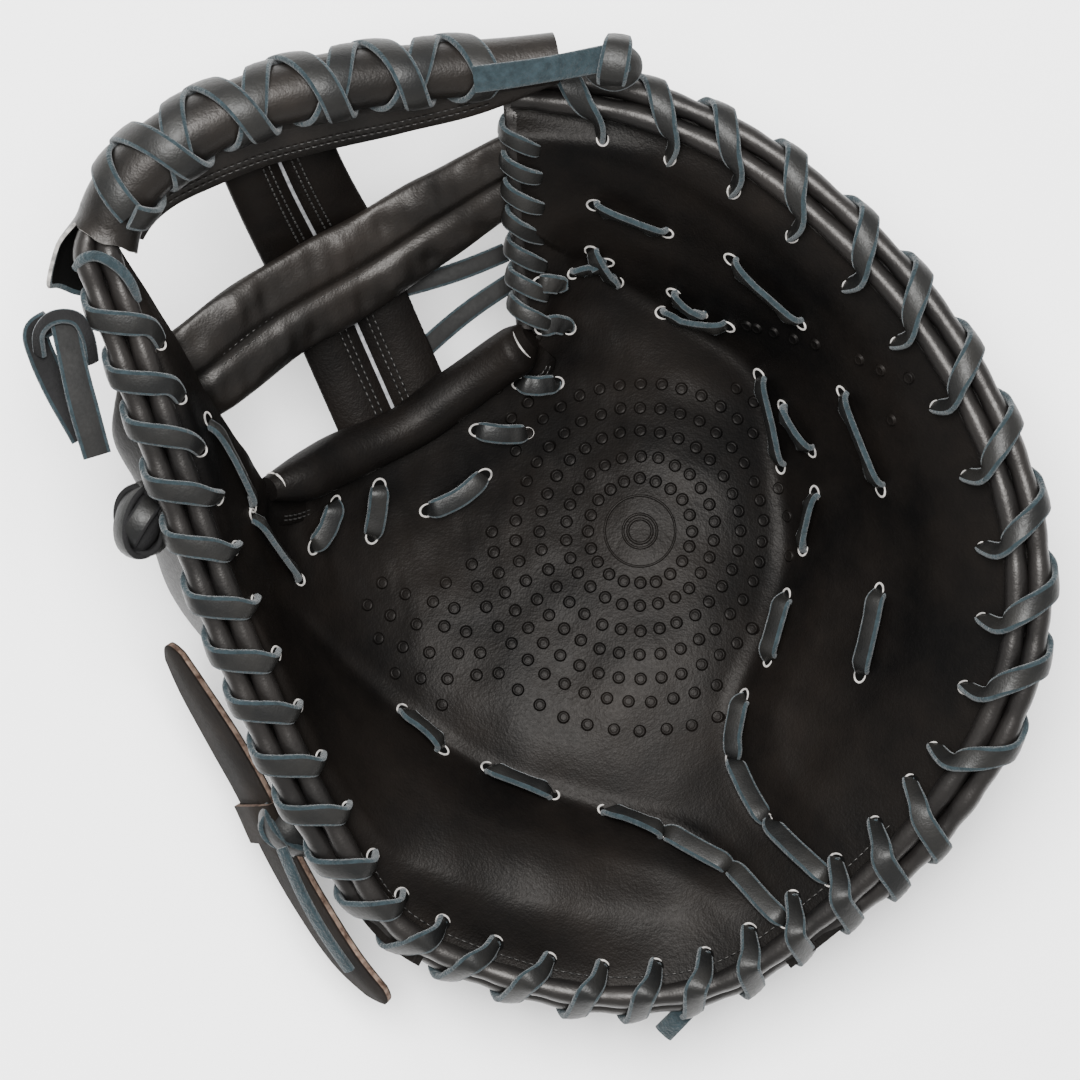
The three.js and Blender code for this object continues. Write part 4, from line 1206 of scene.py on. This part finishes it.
def build_inner_edge():
    """A bound edge beside the web, with a lace whipped round it."""
    t = np.linspace(0.03, 0.99, 90)
    edge = palm_face(0 * t, t)
    inward = unit(palm_face(0 * t + 0.25, t) - edge)
    n = wall_normal(0.03 + 0 * t, t)
    roll = 2.7 * (1 + 0.05 * lumps(edge, 14, 61))
    ring = np.stack([np.cos(np.arange(12) * np.pi / 6), np.sin(np.arange(12) * np.pi / 6)], -1)
    b = Builder()
    centre = edge - n * 2.4 - inward * 0.6
    sweep(b, centre, inward, n, roll[:, None, None] * ring[None])
    b.build("finger_edge_roll", [ROLLED], slot="rim_leather")
    points, facing, widths = [], [], []
    turns = 7
    for k in range(turns):
        for f, out, rise, width in ((0, 6.5, -3, 0.6), (0.05, 6.2, 0.4, 0.8), (0.25, 2, 2.4, 1),
                                    (0.42, -2.6, 1.0, 1), (0.52, -4.2, -2.2, 1), (0.62, -2.8, -5.6, 1),
                                    (0.8, 3, -8.4, 1), (0.95, 6.5, -7.6, 0.7)):
            place = 0.05 + 0.9 * (k + f) / turns
            i = int(np.clip(np.searchsorted(t, place), 0, len(t) - 1))
            points.append(edge[i] + inward[i] * out + n[i] * rise)
            facing.append(unit(points[-1] - (edge[i] - n[i] * 2.6 + inward[i] * 1.5)))
            widths.append(width)
    build_lace("finger_edge_lace", np.array(points), np.array(facing), widths, 5.2)


# Stage: pale floor, soft studio light, and a long lens straight above.
def build_stage():
    span = 3.0
    mesh = bpy.data.meshes.new("floor")
    mesh.from_pydata([(-span, -span, 0), (span, -span, 0), (span, span, 0), (-span, span, 0)], [],
                     [(0, 1, 2, 3)])
    floor = bpy.data.objects.new("floor", mesh)
    m = bpy.data.materials.new("floor_paint")
    m.use_nodes = True
    m.node_tree.nodes["Principled BSDF"].inputs["Base Color"].default_value = (0.98, 0.98, 0.98, 1)
    m.node_tree.nodes["Principled BSDF"].inputs["Roughness"].default_value = 0.8
    mesh.materials.append(m)
    bpy.context.scene.collection.objects.link(floor)
    world = bpy.data.worlds.new("studio")
    world.use_nodes = True
    world.node_tree.nodes["Background"].inputs["Color"].default_value = (1, 1, 1, 1)
    world.node_tree.nodes["Background"].inputs["Strength"].default_value = 1.0
    bpy.context.scene.world = world
    for name, place, size, power in (
        ("overhead", (-0.1, 0.5, 3.2), 1.5, 340),
        ("key", (-0.7, 1.1, 1.4), 0.5, 14),
    ):
        light = bpy.data.lights.new(name, "AREA")
        light.size = size
        light.energy = power
        lamp = bpy.data.objects.new(name, light)
        lamp.location = place
        lamp.rotation_euler = (-Vector(place)).to_track_quat("-Z", "Y").to_euler()
        bpy.context.scene.collection.objects.link(lamp)
    camera = bpy.data.cameras.new("camera")
    camera.sensor_width = 36
    camera.lens = 36 * 2.42 / (1080 * PIXEL / 1000)
    camera.clip_end = 20
    eye = bpy.data.objects.new("camera", camera)
    eye.location = (SHIFT[0] / 1000, SHIFT[1] / 1000, 2.5)
    bpy.context.scene.collection.objects.link(eye)
    bpy.context.scene.camera = eye


PULL_FACING = np.array([-0.8, -0.48, 0.36])
build_stage()
finger_places, *finger_lace, finger_holes = rim_lace(LACES_MEET, 0.2, FINGER_LACE_PITCH, FINGER_TURN)
heel_places, *heel_lace, heel_holes = rim_lace(LACES_MEET + 0.35, LAST - 0.3, HEEL_LACE_PITCH,
                                               HEEL_TURN)
build_palm()
build_back("finger_back_leather", 0, FINGER_BACK_END, "finger_back")
build_back("thumb_back_leather", THUMB_BACK_START, LAST, "thumb_back")
build_rolls(np.concatenate([finger_places, heel_places]))
build_lace("finger_lace", *finger_lace, LACE_WIDTH, "finger_rim_lace")
build_lace("heel_lace", *heel_lace, LACE_WIDTH, "heel_rim_lace")
build_bar()
build_bar_lace("bar_lace_under", 1, 0, "inner_bar_lace")
build_bar_lace("bar_lace_over", -1, 2.0, "outer_bar_lace")
build_band()
build_crotch()
build_post()
build_strap("wrist_strap_leather", WRIST_STRAP, STRAP_WIDTH, STRAP_THICKNESS, Z, "wrist_strap", SUEDE)
build_strap("pull_strap_leather", PULL_STRAP, PULL_WIDTH, 2.4, PULL_FACING, "pull_strap", TAN)
build_keeper()
for row in LACE_ENDS:
    build_end(*row)
lace_through("finger_knot_tab", [at_pixel(611, 84, 127), at_pixel(612, 76, 131), at_pixel(615, 60, 132.5),
                                 at_pixel(618, 44, 131), at_pixel(619, 37, 126)],
             (0, 0.1, 1), [0.9, 1, 1.02, 0.96, 0.8], 9.2, "finger_knot")
curl = [at_pixel(588, 66, 126), at_pixel(598, 78, 127), at_pixel(616, 83, 128), at_pixel(632, 74, 129),
        at_pixel(633, 60, 129), at_pixel(622, 50, 127)]
build_lace("finger_knot_curl", np.array(curl), unit(np.array(curl) - at_pixel(612, 62, 122)),
           np.ones(6), 6.0, steps=8)
flap = [at_pixel(50, 322, 130), at_pixel(36, 333, 128), at_pixel(42, 356, 126), at_pixel(56, 386, 125),
        at_pixel(70, 412, 125), at_pixel(84, 438, 125)]
lace_through("thumb_lace_end_back", flap, (0.2, 0, 0.98), np.ones(6), 8.0, material=LINING)
loop = [at_pixel(40, 354, 128), at_pixel(39, 334, 133), at_pixel(49, 320, 137.5), at_pixel(65, 316, 138.5),
        at_pixel(79, 321, 138), at_pixel(88, 338, 136), at_pixel(92, 362, 131)]
build_lace("thumb_lace_loop", np.array(loop), unit(np.array(loop) - at_pixel(66, 352, 118)),
           np.ones(7), 4.4, steps=8, material=LINING)
turn = [at_pixel(76, 268, 138), at_pixel(83, 259, 142.5), at_pixel(95, 256, 144.5), at_pixel(109, 261, 145),
        at_pixel(122, 271, 143.5), at_pixel(132, 285, 141), at_pixel(138, 300, 136)]
lace_through("mouth_lace", turn, (0.1, 0.25, 1), [0.8, 1, 1, 1, 1, 0.9, 0.7], 3.0, flip=True)
build_knot("strap_knot", (-0.505, -0.58, 0.4), 20, 2.4)
build_knot("thumb_knot", (-0.785, 0.04, 0.78), 23, 1.3, LINING)
build_inner_edge()
spots = build_palm_laces()
for place, share in finger_holes + heel_holes:
    inward = palm(np.array(place), np.array(share - 0.05)) - palm(np.array(place), np.array(share))
    spots.append((place, share, unit(inward) + 0.4 * seam(np.array(place))[1]))
build_holes(spots)
build_dots()
